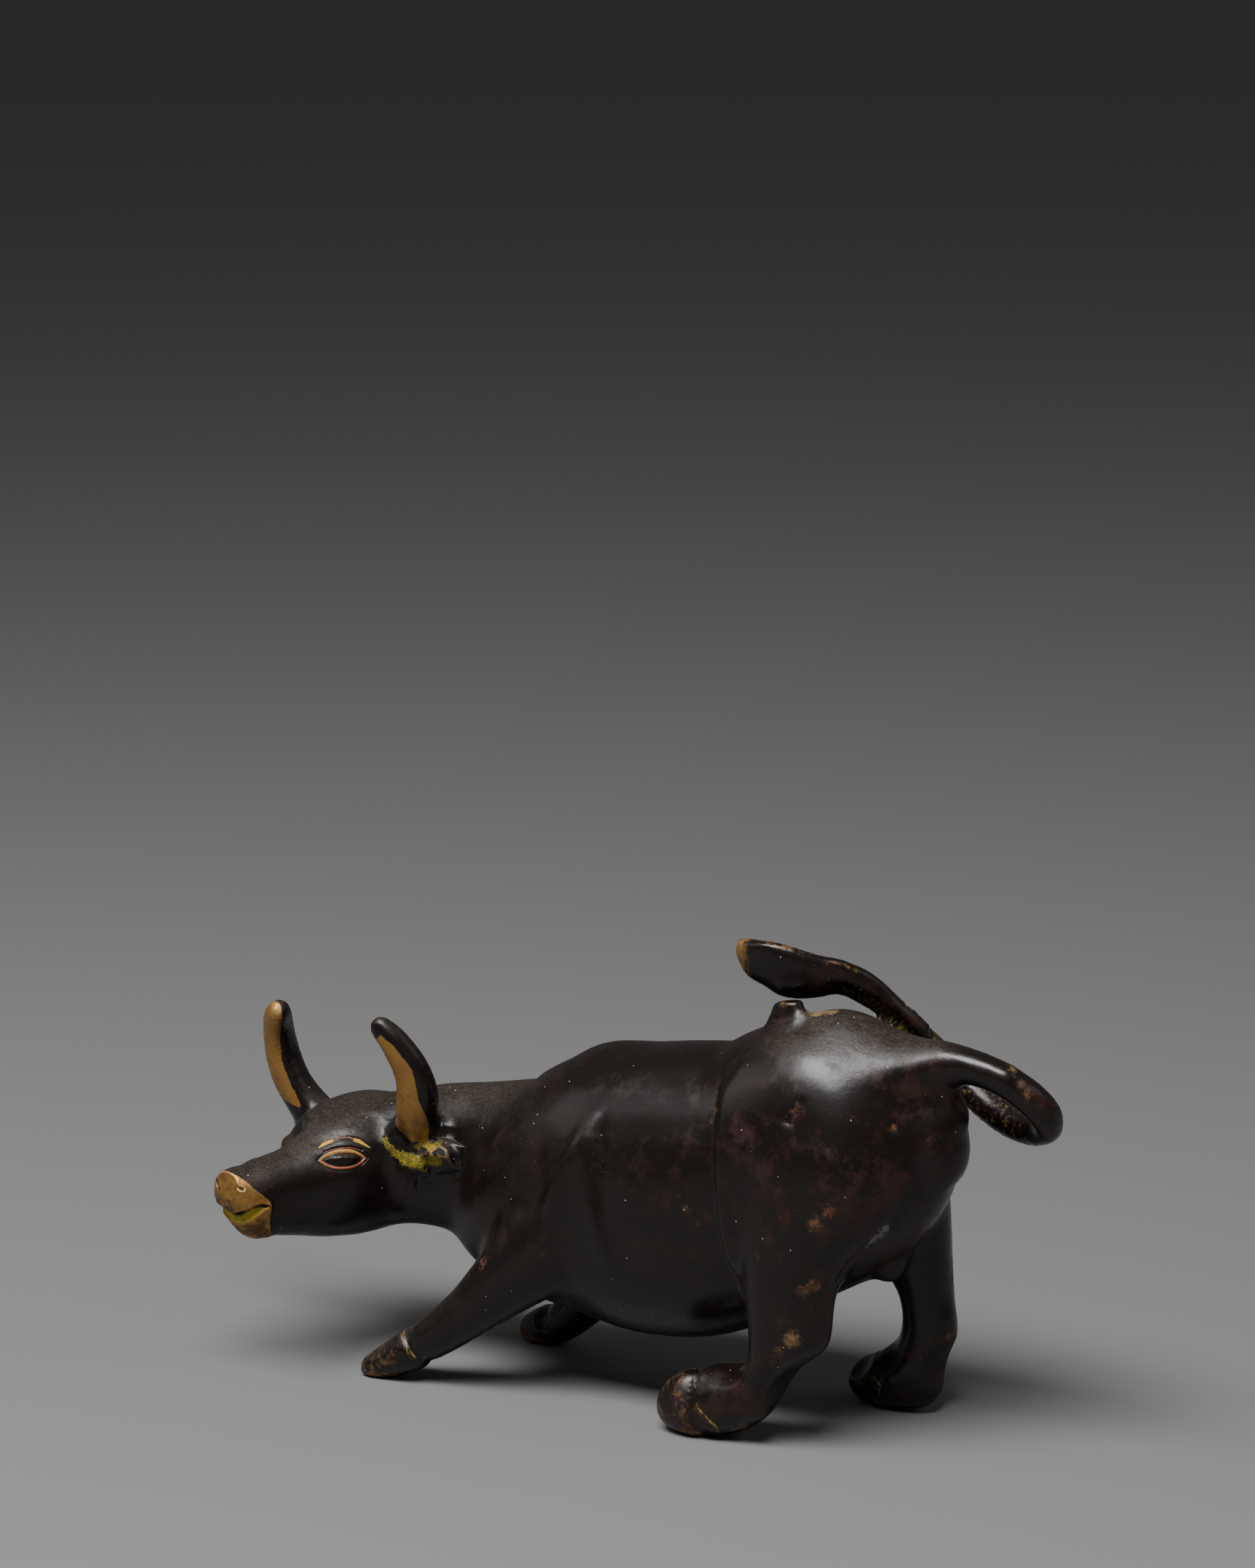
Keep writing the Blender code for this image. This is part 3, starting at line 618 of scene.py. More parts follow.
def shape_limbs(skin):
    """Drags feet, stub and tuft into their last shape and evens the sweep from the rump to the tail."""
    for place, reach, move in DRAGS:
        skin.pull(place, reach, move)
    tail = beside(skin.points, LEAF_PART)[0]
    leaf = (tail < 7.5) & (skin.points[:, 2] > 78.4)
    on_leaf = rise(-tail, -7.5, -6.5) * rise(skin.points[:, 2], 76.4, 80.8)
    for place, reach, move in LEAF_DRAGS:
        skin.pull(place, reach, move, on_leaf)
    place, reach, move = STUB_DRAG
    skin.pull(place, reach, move, ~leaf)
    skin.write()
    for place, reach, passes in EVENING:
        skin.soften(passes, np.minimum(skin.near(place, reach) * 2.0, 1.0))
    skin.soften(50, rise(-away_from(skin.points, SWEEP), -14.0, -6.0))
    skin.soften(6, on_leaf)
    points = skin.points
    root, share, gap = beside(points, TAIL_ROOT)
    cut = 0.45 * bell(root, 3.0) * rise(share, 0.0, 0.4)
    lower, share, gap = beside(points, LEAF_LOWER_EDGE)
    under = (gap @ LEAF_UNDERSIDE) > 0
    cut += 0.25 * bell(lower, 0.7) - 0.40 * bell(lower - 2.1, 1.3) * under * (share > 0.4)
    upper = beside(points, LEAF_UPPER_EDGE)[0]
    cut += 0.2 * bell(upper, 0.8)
    cut -= 0.35 * bell(away_from(points, LEAF_HOLLOW), 2.8)
    skin.push(cut * (leaf | (np.abs(points[:, 0] - SWEEP[0]) < 20.0)))
    # the stub: a flat top with an even rim
    away = skin.points - STUB
    reach = np.hypot(away[:, 0], away[:, 1])
    on_stub = (reach < 4.6) & (np.abs(away[:, 2]) < 4.0) & ~leaf
    waist = 0.34 * bell(away[:, 2] + 3.0, 2.2) * rise(reach, 7.0, 4.5) * ~leaf
    skin.points[:, :2] -= away[:, :2] * waist[:, None]
    top = STUB[2] + 0.10 * away[:, 0]
    skin.points[:, 2] = np.where(on_stub, np.minimum(skin.points[:, 2], top), skin.points[:, 2])
    skin.write()


def slow_noise(points, size, seed):
    """An even noise from about -1 to 1 with waves of the given size in millimetres."""
    shift = Vector((seed * 17.3, seed * 5.1, seed * 9.7))
    return np.array([noise.noise(Vector(point) / size + shift) for point in points])


def carve_body(skin):
    """Sharpens the folds of the body, cuts hatching, hoof lines and pits, and roughens the casting a little."""
    points = skin.points
    left = points[:, 1] < 6.0
    cut = 0.07 * slow_noise(points, 15.0, 1) + 0.03 * slow_noise(points, 4.0, 2)
    crease, share, gap = beside(points, HAUNCH_CREASE)
    ends = rise(share, 0.0, 0.12) * rise(share, 1.0, 0.9)
    cut -= 0.34 * bell(crease, 0.6) * left * ends
    cut += 0.24 * bell(crease - 1.6, 1.3) * (gap[:, 0] > 0) * left * ends
    back, share, gap = beside(points, BACK_RIDGE)
    fade = rise(share, 0.0, 0.35) * rise(share, 1.0, 0.75) * left
    step = np.where(gap[:, 0] < 0, 1.0, -1.0) * rise(back, 0.0, 0.7)
    cut += 0.34 * step * bell(back, 3.0) * fade
    front, share, gap = beside(points, FRONT_RIDGE)
    cut += 0.40 * bell(front, 2.4) * left * rise(share, 0.0, 0.35) * rise(share, 1.0, 0.7)
    groin, share, gap = beside(points, GROIN_LINE)
    cut -= 0.5 * bell(groin, 0.8)
    groin = groin + 4.0 * rise(share, 0.3, 0.1) + 1.2 * rise(share, 0.5, 0.7)
    cut += 0.22 * slow_noise(points, 0.9, 3) * bell(groin, 1.5)
    # the cross-hatched underside of the leaf, the cracked run of the loop, and the back of the far horn
    under, share, gap = beside(points, LEAF_LOWER_EDGE)
    below = gap @ LEAF_UNDERSIDE
    run = share * LEAF_EDGE_LENGTH
    hatch = rise(-under, -3.8, -2.4) * rise(below, -0.3, 0.4) * rise(share, 0.15, 0.3) * (points[:, 2] > 70.0)
    cut -= 0.18 * hatch * np.maximum(stripes(run + below, 1.3, 0.26), stripes(run - below, 1.3, 0.26))
    cracked = rise(-beside(points, TAIL_LINE[6:9])[0], -6.0, -4.5) * rise(points[:, 1], 16.0, 19.0)
    cut += 0.13 * slow_noise(points, 0.9, 4) * cracked
    station, angle, distance = horn_places(head_places(points), -1)
    filed = (distance < HORN_REACH) * rise(station, 2.4, 3.0) * (angle < 10.0)
    cut -= 0.12 * filed * stripes(station * HORN_STEP + angle * 0.012, 1.1, 0.3)
    line = np.full(len(points), -OUTSIDE)
    for path, forward in zip(HOOF_LINES, HOOF_FORWARD):
        distance, share, gap = beside(points, path)
        line = np.minimum(line, distance)
        ahead = np.where(gap @ np.array(forward) > 0, 1.0, -1.0) * rise(distance, 0.0, 0.45)
        cut += 0.10 * ahead * bell(distance, 1.9)
    cut -= 0.14 * bell(line, 0.22)
    for place, reach in PITS:
        cut -= 0.4 * bell(away_from(points, place), reach)
    skin.push(cut)
    return line, groin, hatch, cracked


def ear_distance(places):
    """Distance from the middle line of the nearer ear."""
    near = beside(places, ((3.0, 15.0, 2.6), (1.6, 23.5, 5.6)))[0]
    far = beside(places, ((3.0, -13.0, 2.6), (1.6, -17.5, 5.4)))[0]
    return np.minimum(near, far)


def refine_where(skin):
    """Halves the grain on the parts that are cut finely, and again at the eye and the lips."""
    places = head_places(skin.points)
    fine = (ear_distance(places) < 4.5) | (places[:, 0] > 27.0)
    for side in (1, -1):
        station, _, distance = horn_places(places, side)
        fine |= (distance < HORN_REACH) & (station > 0.6)
        along, up, out = eye_plane(places, side)
        fine |= (np.abs(along) < 6.6) & (up > -3.4) & (up < 5.6) & (np.abs(out) < 4)
    for path in HOOF_LINES:
        fine |= beside(skin.points, path)[0] < 2.2
    fine |= beside(skin.points, LEAF_PART)[0] < 5.5
    skin.refine(fine)
    skin.smooth(3)
    places = head_places(skin.points)
    along, up, out = eye_plane(places, 1)
    finest = (np.abs(along) < 5.6) & (up > -2.6) & (up < 5.0) & (np.abs(out) < 3)
    finest |= (beside(places, MOUTH[:, :3])[0] < 2.0) & (places[:, 1] > -2.5)
    for nostril in (NEAR_NOSTRIL, FAR_NOSTRIL):
        finest |= beside(places, nostril)[0] < 1.2
    skin.refine(finest)
    skin.smooth(2)


def worn_spots(skin):
    """Distance inside the nearest worn spot, and its tone from coppery pink to pale brass."""
    inside = np.full(len(skin.points), OUTSIDE)
    tone = np.zeros(len(skin.points))
    for place, reach, shade in SPOTS:
        here = reach - away_from(skin.points, place)
        tone = np.where(here > inside, shade, tone)
        inside = np.maximum(here, inside)
    return inside, tone


def rubbed(skin):
    """How much the edges of hooves, ears, stub and tail are rubbed, from 0 to 1."""
    points = skin.points
    hooves = np.zeros(len(points))
    for path, forward in zip(HOOF_LINES, HOOF_FORWARD):
        distance, _, gap = beside(points, path)
        rim = np.maximum(bell(points[:, 2] - 0.9, 1.1), 0.8 * bell(distance - 0.6, 0.45))
        on_hoof = (gap @ np.array(forward) > 0) * rise(distance, 13.0, 9.0)
        hooves = np.maximum(hooves, on_hoof * np.maximum(rim, 0.42))
    stub = bell(away_from(points, STUB) - 2.4, 0.6)
    ears = rise(-ear_distance(head_places(points)), -4.6, -3.6)
    leaf_top = bell(beside(points, LEAF_UPPER_EDGE)[0], 1.2)
    leaf_front = bell(beside(points, LEAF_LOWER_EDGE[:3])[0], 1.5)
    return np.maximum.reduce((hooves, stub * 0.7, ears * 0.6, np.maximum(leaf_top, leaf_front) * 0.75))


def curvature(skin):
    """How far each point stands out of its surroundings, in millimetres."""
    flat = skin.points
    for _ in range(6):
        flat = flat + (skin.mean_of_neighbours(flat) - flat) * 0.5
    return ((skin.points - flat) * skin.normals).sum(axis=1)


def carve(skin):
    """Cuts all that is fine into the skin, and gives the numbers that the finish reads, by name."""
    line, groin, hatch, cracked = carve_body(skin)
    lens, lid, lid_up, brow, brow_share, brow_side, fold = carve_eye(skin, 1)
    far_lens, far_lid, far_lid_up, far_brow, far_brow_share, far_brow_side, far_fold = carve_eye(skin, -1)
    mouth, slit, nostril = carve_muzzle(skin)
    places = head_places(skin.points)
    along, across = skin.points[:, 0], skin.points[:, 1]
    upward = skin.normals[:, 2]
    spot, tone = worn_spots(skin)
    band, band_share, _ = beside(places, RESIDUE_BAND)
    tuft = beside(skin.points, TUFT_PART)[0]
    rump = rise(along, 24.0, 36.0) * rise(along, 68.0, 56.0)
    rump *= rise(across, -4.0, 1.0) * rise(tuft, 6.0, 9.0)
    matte = np.maximum(rise(along, -14.0, -30.0), rump)
    return {
        "lens": np.maximum(lens, far_lens),
        "lid": np.maximum(lid, far_lid),
        "lid_up": lid_up + far_lid_up,
        "brow": np.maximum(brow, far_brow),
        "brow_share": np.where(brow > OUTSIDE + 1.0, brow_share, far_brow_share),
        "brow_side": brow_side + far_brow_side,
        "fold": np.maximum(fold, far_fold),
        "mouth": mouth,
        "slit": slit,
        "nostril": nostril,
        "nose": past_nose_edge(places),
        "strip": np.maximum(strip_of_horn(places, 1), strip_of_horn(places, -1)),
        "spot": spot,
        "tone": tone,
        "rub": rubbed(skin),
        "edge": curvature(skin),
        "hoof_line": line,
        "crud": 1.5 - groin,
        "hatch": hatch,
        "cracked": cracked,
        "upward": upward,
        "residue": np.maximum(1.15 + 0.35 * band_share - band, 0.9 - beside(places, RESIDUE_PATCH)[0]),
        "crusted": band_share,
        "tuft": rise(along, 22.6, 20.4) * (tuft < 7),
        "dusty": rise(upward, 0.2, 0.9) * matte,
        "red": rise(along, 0.0, 40.0) * rise(upward, 0.75, 0.35),
    }


class Value:
    """A number of a finish that changes over the surface. Sums on it add Math nodes."""

    def __init__(self, finish, socket):
        self.finish = finish
        self.socket = socket

    def __add__(self, other):
        return self.finish.maths("ADD", self, other)

    def __radd__(self, other):
        return self.finish.maths("ADD", other, self)

    def __sub__(self, other):
        return self.finish.maths("SUBTRACT", self, other)

    def __rsub__(self, other):
        return self.finish.maths("SUBTRACT", other, self)

    def __mul__(self, other):
        return self.finish.maths("MULTIPLY", self, other)

    def __rmul__(self, other):
        return self.finish.maths("MULTIPLY", other, self)


class Finish:
    """A material built node by node."""

    def __init__(self, name):
        self.material = bpy.data.materials.new(name)
        self.material.use_nodes = True
        self.tree = self.material.node_tree
        self.tree.nodes.clear()
        self.place = self.node("ShaderNodeTexCoord").outputs["Object"]

    def node(self, kind, settings=None, sockets=None):
        """Adds a node: its settings are set first, then the values or links of its sockets."""
        node = self.tree.nodes.new(kind)
        for name, value in (settings or {}).items():
            setattr(node, name, value)
        for name, value in (sockets or {}).items():
            socket = node.inputs[name]
            if isinstance(value, Value):
                self.tree.links.new(value.socket, socket)
            elif isinstance(value, bpy.types.NodeSocket):
                self.tree.links.new(value, socket)
            else:
                socket.default_value = value
        return node

    def maths(self, operation, first, second=0.0):
        node = self.node("ShaderNodeMath", {"operation": operation}, {0: first, 1: second})
        return Value(self, node.outputs[0])

    def least(self, first, second):
        return self.maths("MINIMUM", first, second)

    def most(self, first, second):
        return self.maths("MAXIMUM", first, second)

    def marks(self, *names):
        """Numbers that the carving stored on the points."""
        nodes = [self.node("ShaderNodeAttribute", {"attribute_name": name}) for name in names]
        return [Value(self, node.outputs["Fac"]) for node in nodes]

    def step(self, value, start, end):
        """Goes smoothly from 0 where the value is start to 1 where it is end."""
        sockets = {"Value": value, "From Min": start, "From Max": end}
        if start > end:
            sockets = {"Value": value, "From Min": end, "From Max": start, "To Min": 1.0, "To Max": 0.0}
        node = self.node("ShaderNodeMapRange", {"interpolation_type": "SMOOTHSTEP"}, sockets)
        return Value(self, node.outputs["Result"])

    def grain(self, size, detail=3.0, roughness=0.55, stretch=(1.0, 1.0, 1.0), turn=(0.0, 0.0, 0.0)):
        """Noise whose blotches are about size millimetres across, from 0 to 1."""
        scale = [MM / size / way for way in stretch]
        mapping = self.node("ShaderNodeMapping", {"vector_type": "POINT"}, {
            "Vector": self.place, "Scale": scale, "Rotation": turn,
        })
        node = self.node("ShaderNodeTexNoise", {"noise_dimensions": "3D"}, {
            "Vector": mapping.outputs[0], "Scale": 1.0, "Detail": detail, "Roughness": roughness,
        })
        return Value(self, node.outputs["Fac"])

    def cells(self, size):
        """Distance to scattered points about size millimetres apart, in shares of that size."""
        node = self.node("ShaderNodeTexVoronoi", None, {"Vector": self.place, "Scale": MM / size})
        return Value(self, node.outputs["Distance"])

    def blend(self, share, first, second):
        """The first colour where the share is 0 and the second where it is 1."""
        node = self.node("ShaderNodeMix", {"data_type": "RGBA"}, {"Factor": share})
        for socket, value in ((node.inputs[6], first), (node.inputs[7], second)):
            if isinstance(value, bpy.types.NodeSocket):
                self.tree.links.new(value, socket)
            else:
                socket.default_value = (*value, 1.0)
        return node.outputs[2]


class BullFigure(bpy.types.PropertyGroup):
    """Sizes of the bull's skin."""

    grain: bpy.props.FloatProperty(
        name="Grain", description="Size of the small faces of the skin", default=0.00075, unit="LENGTH",
        min=0.0004, max=0.003,
    )


def colour_setting(name, description, default):
    """A colour that the panel shows."""
    return bpy.props.FloatVectorProperty(
        name=name, description=description, default=default, subtype="COLOR", min=0, max=1,
    )


class BullColours(bpy.types.PropertyGroup):
    """Colours of the patina and of the metal that shows through it."""

    patina: colour_setting("Patina", "Dark brown patina", (0.0058, 0.0038, 0.0032))
    russet: colour_setting("Russet", "Red-brown mottling in the patina", (0.024, 0.0075, 0.0045))
    dust: colour_setting("Dust", "Grey-tan dust on the upper sides", (0.060, 0.046, 0.034))
    brass: colour_setting("Brass", "Dull brass where the patina is gone", (0.34, 0.18, 0.048))
    copper: colour_setting("Copper", "Coppery scratches and pits", (0.34, 0.11, 0.045))
    residue: colour_setting("Residue", "Mustard residue in the mouth and under the horn", (0.27, 0.21, 0.012))


class BullStage(bpy.types.PropertyGroup):
    """Floor and lights."""

    floor: colour_setting("Floor", "Colour of the floor", (0.165, 0.165, 0.164))
    light: bpy.props.FloatProperty(
        name="Light", description="Strength of the soft light overhead", default=17.0, unit="POWER", min=0.0,
    )


def worked_bronze(colours):
    """The finish of the whole figure: glossy dark patina, worn to brass and copper, with dust and residue."""
    f = Finish("dark_bronze")
    lens, lid, lid_up, fold = f.marks("lens", "lid", "lid_up", "fold")
    brow, brow_share, brow_side = f.marks("brow", "brow_share", "brow_side")
    mouth, slit, nostril, nose = f.marks("mouth", "slit", "nostril", "nose")
    strip, spot, tone, rub, edge = f.marks("strip", "spot", "tone", "rub", "edge")
    line, crud, hatch, cracked = f.marks("hoof_line", "crud", "hatch", "cracked")
    residue_spot, crusted, upward = f.marks("residue", "crusted", "upward")
    tuft, dusty, red = f.marks("tuft", "dusty", "red")

    broad = f.grain(14.0, 4.0)
    medium = f.grain(4.0, 5.0, 0.6)
    small = f.grain(1.1, 4.0, 0.65)
    fine = f.grain(0.35, 3.0, 0.6)
    specks = f.cells(1.3)
    pits = f.cells(0.55)
    hairs = f.grain(0.5, 2.0, 0.5, stretch=(1.0, 1.0, 12.0), turn=(0.5, 0.35, 0.0))
    strands = f.grain(0.45, 2.0, 0.5, stretch=(14.0, 1.0, 1.0), turn=(0.0, 0.5, 0.3))

    # patina with its red-brown mottling and duller patches
    mottle = f.step(medium + (small - 0.5) * 0.35 + (broad - 0.5) * 0.7, 0.44, 0.74) * (0.2 + red * 0.8)
    colour = f.blend(mottle, colours.patina, colours.russet)
    dull = f.step(medium * 0.6 + broad * 0.7 + (small - 0.5) * 0.3, 0.62, 0.82)
    rough = 0.20 + broad * 0.06 + dull * 0.13 + small * 0.05 + fine * 0.05 + mottle * 0.06

    # matte dust on the upper sides
    dust = f.step(upward + (medium - 0.5) * 0.5, 0.3, 1.0) * dusty * f.step(fine + small * 0.3, 0.45, 0.85)
    colour = f.blend(dust * 0.6, colour, colours.dust)
    rough = rough + dusty * 0.14

    # small flecks and hair scratches of bare metal
    fleck = f.step(specks + (small - 0.5) * 0.3, 0.07, 0.03) * f.step(broad + red * 0.06, 0.48, 0.62)
    hair = f.step(hairs, 0.74, 0.79) + f.step(strands, 0.76, 0.80)
    worn = f.most(fleck, hair * f.step(medium, 0.48, 0.62) * 0.6)
    worn_colour = f.blend(f.step(medium, 0.4, 0.6), colours.copper, (0.30, 0.17, 0.06))
    colour = f.blend(worn * 0.75, colour, worn_colour)
    metal = worn * 0.6
    rough = rough + hair * 0.12

    # rubbed rims of hooves, ears, stub and tail
    rim_wear = f.step(edge * 4.0 + rub * 0.7 + (small - 0.5) * 1.3 + (medium - 0.5) * 0.6, 0.6, 1.0) * rub
    rim_colour = f.blend(f.step(small, 0.4, 0.65), (0.10, 0.045, 0.022), (0.32, 0.18, 0.065))
    colour = f.blend(rim_wear * 0.8, colour, rim_colour)
    metal = f.most(metal, rim_wear * 0.55)
    rough = rough + rim_wear * 0.14

    # worn spots
    spot_edge = spot * 0.7 + (small - 0.5) * 3.4 + (fine - 0.5) * 1.4
    spotted = f.step(spot_edge, -0.3, 1.7) * f.step(spot, -1.2, 0.6)
    pale = f.blend(f.step(tone, 0.5, 1.0), (0.20, 0.10, 0.036), (0.40, 0.27, 0.12))
    tint = f.blend(f.step(tone, 0.05, 0.55), (0.30, 0.12, 0.075), pale)
    colour = f.blend(spotted * (0.35 + small * 0.6), colour, tint)
    metal = f.most(metal, spotted * 0.25)
    rough = rough + spotted * 0.24

    # bare strips of the horns and the muzzle
    ragged = (small - 0.5) * 0.5 + (fine - 0.5) * 0.25
    bare = f.most(f.step(strip + ragged, -0.08, 0.12), f.step(nose + ragged, -0.1, 0.18))
    bare = f.most(bare, tuft * f.step(small + medium * 0.4, 0.55, 0.8))
    blotch = f.step(medium + (small - 0.5) * 0.6, 0.42, 0.66)
    brass = f.blend(blotch * 0.65, colours.brass, (0.13, 0.062, 0.022))
    soiled = f.step(nose, 0.0, 0.9) * f.step(small + medium, 0.85, 1.15)
    brass = f.blend(soiled * 0.6, brass, (0.07, 0.032, 0.012))
    brass = f.blend(f.step(edge, 0.03, 0.12) * 0.35, brass, (0.56, 0.34, 0.13))
    pitted = f.step(pits + (small - 0.5) * 0.3, 0.19, 0.09) * f.step(small, 0.48, 0.6)
    brass = f.blend(pitted * 0.85, brass, (0.02, 0.012, 0.008))
    colour = f.blend(bare, colour, brass)
    metal = f.most(metal, bare * (0.75 - blotch * 0.30))
    rough = rough + bare * (0.12 + blotch * 0.08)

    # eyelids, brow and the fold between them
    lid_mask = f.step(lid + (fine - 0.5) * 0.1, -0.02, 0.07)
    upper_lid = f.step(lid_up, -0.3, 0.4)
    lid_colour = f.blend(upper_lid, (0.36, 0.115, 0.05), (0.44, 0.22, 0.05))
    lid_colour = f.blend(f.step(lid, 0.26, 0.12) * upper_lid * 0.5, lid_colour, (0.30, 0.05, 0.02))
    colour = f.blend(lid_mask, colour, lid_colour)
    brow_mask = f.step(brow + (fine - 0.5) * 0.1, -0.04, 0.04)
    brow_fill = f.most(f.step(brow_share, 0.34, 0.28), f.step(brow_share, 0.66, 0.74))
    brow_rim = f.step(brow_side + brow * 0.2, 0.10, 0.2)
    brow_colour = f.blend(brow_fill, (0.02, 0.014, 0.012), (0.55, 0.33, 0.025))
    brow_colour = f.blend(brow_rim, brow_colour, (0.50, 0.14, 0.05))
    colour = f.blend(brow_mask, colour, brow_colour)
    fold_mask = f.step(fold + (fine - 0.5) * 0.12, -0.05, 0.03)
    colour = f.blend(fold_mask * 0.7, colour, (0.26, 0.07, 0.035))
    painted = f.most(lid_mask, f.most(brow_mask * brow_fill, fold_mask))
    rough = rough + painted * 0.12

    # residue in the mouth, under the horn and in the hatching
    yellow = f.step(mouth + (small - 0.5) * 0.4, 0.12, 0.3) * f.step(slit, 0.25, 0.6)
    crust = residue_spot + (small - 0.5) * 4.0 + (medium - 0.5) * 2.5 + crusted * 0.5
    patch = f.step(crust, 0.25, 0.6) * f.step(residue_spot, -0.6, 0.2)
    traces = hatch * f.step(small * 1.2 + medium - edge * 3.0, 1.12, 1.4)
    caked = f.most(yellow, f.most(patch, traces * 0.45))
    dark_crust = f.step(small + (fine - 0.5) * 0.8 - crusted * 0.08, 0.34, 0.56) * (1.0 - yellow * 0.7) * 0.85
    stain = f.blend(dark_crust, colours.residue, (0.055, 0.045, 0.006))
    stain = f.blend(yellow * f.step(small, 0.36, 0.5) * 0.8, stain, (0.50, 0.38, 0.03))
    colour = f.blend(caked, colour, stain)
    metal = metal * (1.0 - caked)
    rough = rough + caked * 0.3

    # cracks of the loop and pale crud in the groin
    earthy = cracked * f.step(small * 1.3 + fine * 0.5, 0.92, 1.15)
    colour = f.blend(earthy * 0.7, colour, (0.13, 0.085, 0.03))
    chalk = f.step(crud + (small - 0.5) * 4.0 + (fine - 0.5) * 1.5, 0.5, 1.2) * f.step(crud, -0.2, 0.6)
    colour = f.blend(chalk * 0.75, colour, (0.22, 0.23, 0.21))
    rough = rough + (earthy + chalk) * 0.3

    # painted shade: the carved grooves of the mouth slit, the nostrils and the ring round the lens are darkened
    painted_groove_shade = f.most(f.step(slit, 0.42, 0.2) * f.step(mouth, -0.1, 0.1), f.step(nostril, 0.3, 0.16))
    painted_groove_shade = f.most(painted_groove_shade, f.step(f.maths("ABSOLUTE", lens - 0.05), 0.14, 0.07))
    colour = f.blend(painted_groove_shade, colour, (0.012, 0.009, 0.008))
    metal = metal * (1.0 - painted_groove_shade)

    # thin residue in the hoof lines
    trace = f.step(line + (small - 0.5) * 0.5, 0.34, 0.14) * f.step(medium + small * 0.5, 0.64, 0.86)
    colour = f.blend(trace * 0.85, colour, (0.32, 0.22, 0.06))
    metal = metal * (1.0 - trace)

    # white dust specks
    speck = f.step(f.cells(3.1), 0.042, 0.03)
    colour = f.blend(speck * 0.8, colour, (0.6, 0.58, 0.55))

    height = medium * 0.06 + small * 0.026 + fine * 0.012 - worn * 0.02 - pitted * bare * 0.06 + caked * 0.05
    height = height - hair * 0.014 + caked * small * 0.12 + chalk * small * 0.2 + bare * small * 0.015
    height = height + dusty * small * 0.12 + dusty * fine * 0.04
    bump = f.node("ShaderNodeBump", None, {"Strength": 0.6, "Distance": 1.0 / MM, "Height": height})
    shader = f.node("ShaderNodeBsdfPrincipled", None, {
        "Base Color": colour, "Metallic": f.least(f.most(metal, 0.0), 1.0), "Roughness": f.least(rough, 0.9),
        "Normal": bump.outputs[0], "Specular IOR Level": 0.38,
    })
    f.node("ShaderNodeOutputMaterial", None, {"Surface": shader.outputs[0]})
    return f.material


FEWEST_FACES = 10000  # a skin with fewer has failed

# Lights: name, place, size, and share of the strength that the panel sets.
LIGHTS = (
    ("softbox_overhead", (0.0, -0.40, 0.82), (0.70, 0.34), 1.0),
    ("fill_left", (-0.9, -0.5, 0.6), (0.5, 0.5), 0.06),
    ("fill_right", (0.9, 0.3, 0.7), (0.5, 0.5), 0.05),
)
LIGHTS_AIM = Vector((0.0, 0.0, 0.04))
WORLD_GREY = (0.5, 0.5, 0.5, 1.0)
WORLD_STRENGTH = 0.20
FLOOR_SIZE = 30.0
CAMERA_PLACE = (0.4861, -0.77565, 0.3109)
CAMERA_TURN = (math.radians(78), 0.0, math.radians(32))
CAMERA_LENS = 120.0


class BULL_OT_figure(bpy.types.Operator):
    """Carve the figure from the part's solid and give it its patina."""

    bl_idname = "bull.figure"
    bl_label = "Bronze Bull"

    def execute(self, context):
        piece = copy_of_solid("bull_figure")
        lay_skin(piece, context.scene.bull_figure.grain)
        if len(piece.data.polygons) < FEWEST_FACES:
            raise RuntimeError("The skin of the bull came out empty")
        skin = Casting(piece)
        skin.smooth(10)
        shape_limbs(skin)
        refine_where(skin)
        shape_head(skin)
        for name, values in carve(skin).items():
            skin.keep(name, values)
        piece.data.materials.append(worked_bronze(context.scene.bull_colours))
        piece.data.shade_smooth()
        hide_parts(NODE)
        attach(piece, "root")
        print("triangles", sum(len(face.vertices) - 2 for face in piece.data.polygons))
        return {"FINISHED"}


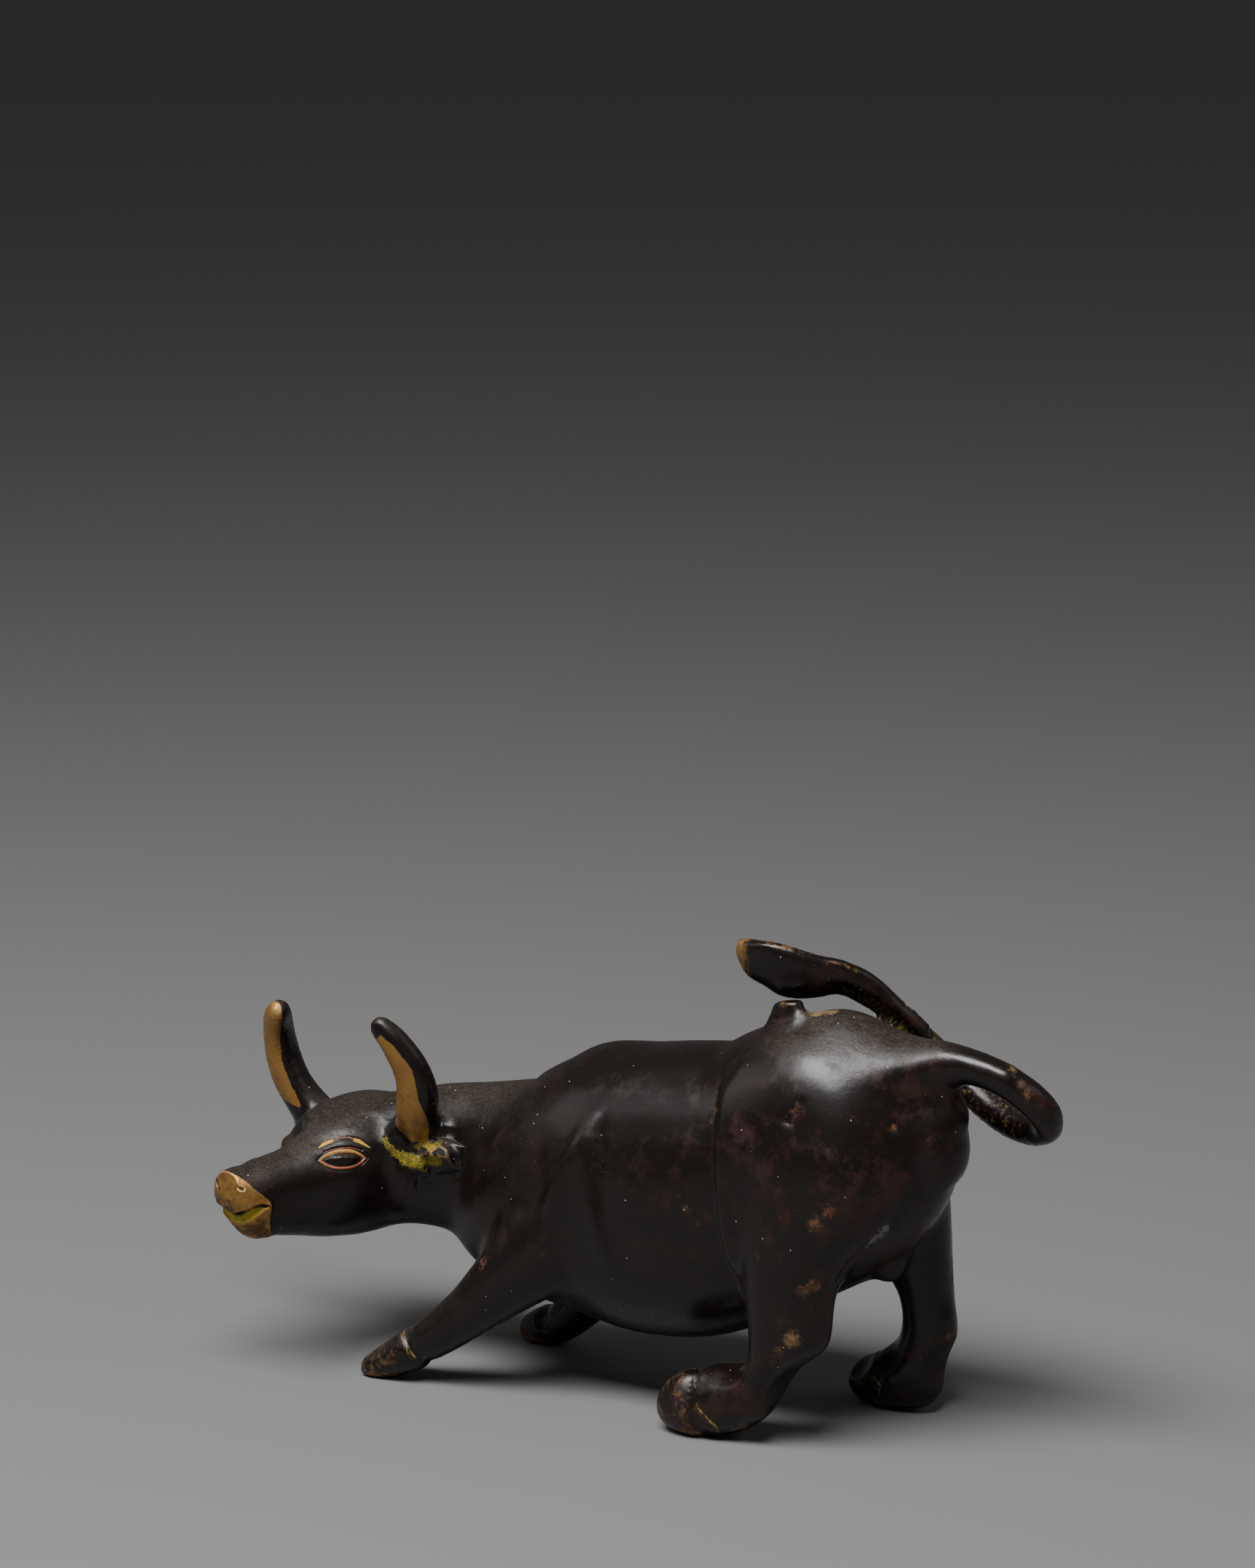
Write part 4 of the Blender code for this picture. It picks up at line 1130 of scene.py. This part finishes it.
class BULL_OT_stage(bpy.types.Operator):
    """Lay the pale floor, set the soft lights and place the camera."""

    bl_idname = "bull.stage"
    bl_label = "Studio Stage"

    def execute(self, context):
        settings = context.scene.bull_stage
        bpy.ops.object.select_all(action="DESELECT")
        bpy.ops.mesh.primitive_plane_add(size=FLOOR_SIZE, location=(0.0, 0.0, 0.0))
        floor = context.object
        floor.name = "floor"
        f = Finish("pale_floor")
        mottle = f.grain(0.8, 3.0)
        colour = f.blend(mottle * 0.25, settings.floor, [value * 0.8 for value in settings.floor])
        shader = f.node("ShaderNodeBsdfPrincipled", None, {"Base Color": colour, "Roughness": 0.7})
        f.node("ShaderNodeOutputMaterial", None, {"Surface": shader.outputs[0]})
        floor.data.materials.append(f.material)
        for name, place, size, share in LIGHTS:
            self.add_light(name, place, size, settings.light * share)
        world = bpy.data.worlds.new("studio")
        world.use_nodes = True
        background = world.node_tree.nodes["Background"]
        background.inputs["Color"].default_value = WORLD_GREY
        background.inputs["Strength"].default_value = WORLD_STRENGTH
        context.scene.world = world
        bpy.ops.object.camera_add(location=CAMERA_PLACE, rotation=CAMERA_TURN)
        camera = context.object
        camera.name = "camera"
        camera.data.lens = CAMERA_LENS
        camera.data.sensor_width = 36.0
        camera.data.clip_start = 0.01
        context.scene.camera = camera
        return {"FINISHED"}

    def add_light(self, name, place, size, power):
        bpy.ops.object.light_add(type="AREA", location=place)
        lamp = bpy.context.object
        lamp.name = name
        lamp.data.energy = power
        lamp.data.shape = "RECTANGLE"
        lamp.data.size, lamp.data.size_y = size
        aim = LIGHTS_AIM - Vector(place)
        lamp.rotation_euler = aim.to_track_quat("-Z", "Y").to_euler()


class BULL_PT_panel(bpy.types.Panel):
    """Lists the pieces and their settings."""

    bl_idname = "BULL_PT_panel"
    bl_label = "Bronze Bull"
    bl_space_type = "VIEW_3D"
    bl_region_type = "UI"
    bl_category = "Bull"

    def draw(self, context):
        layout = self.layout
        scene = context.scene
        layout.prop(scene.bull_figure, "grain")
        for name in ("patina", "russet", "dust", "brass", "copper", "residue"):
            layout.prop(scene.bull_colours, name)
        layout.operator("bull.figure")
        layout.prop(scene.bull_stage, "floor")
        layout.prop(scene.bull_stage, "light")
        layout.operator("bull.stage")


SETTINGS = {"bull_figure": BullFigure, "bull_colours": BullColours, "bull_stage": BullStage}
CLASSES = (*SETTINGS.values(), BULL_OT_figure, BULL_OT_stage, BULL_PT_panel)


def register():
    for kind in CLASSES:
        bpy.utils.register_class(kind)
    for name, group in SETTINGS.items():
        setattr(bpy.types.Scene, name, bpy.props.PointerProperty(type=group))


def unregister():
    for name in SETTINGS:
        delattr(bpy.types.Scene, name)
    for kind in reversed(CLASSES):
        bpy.utils.unregister_class(kind)


def main():
    """Builds the figure and its stage."""
    register()
    bpy.ops.bull.figure()
    bpy.ops.bull.stage()


if __name__ == "__main__":
    main()
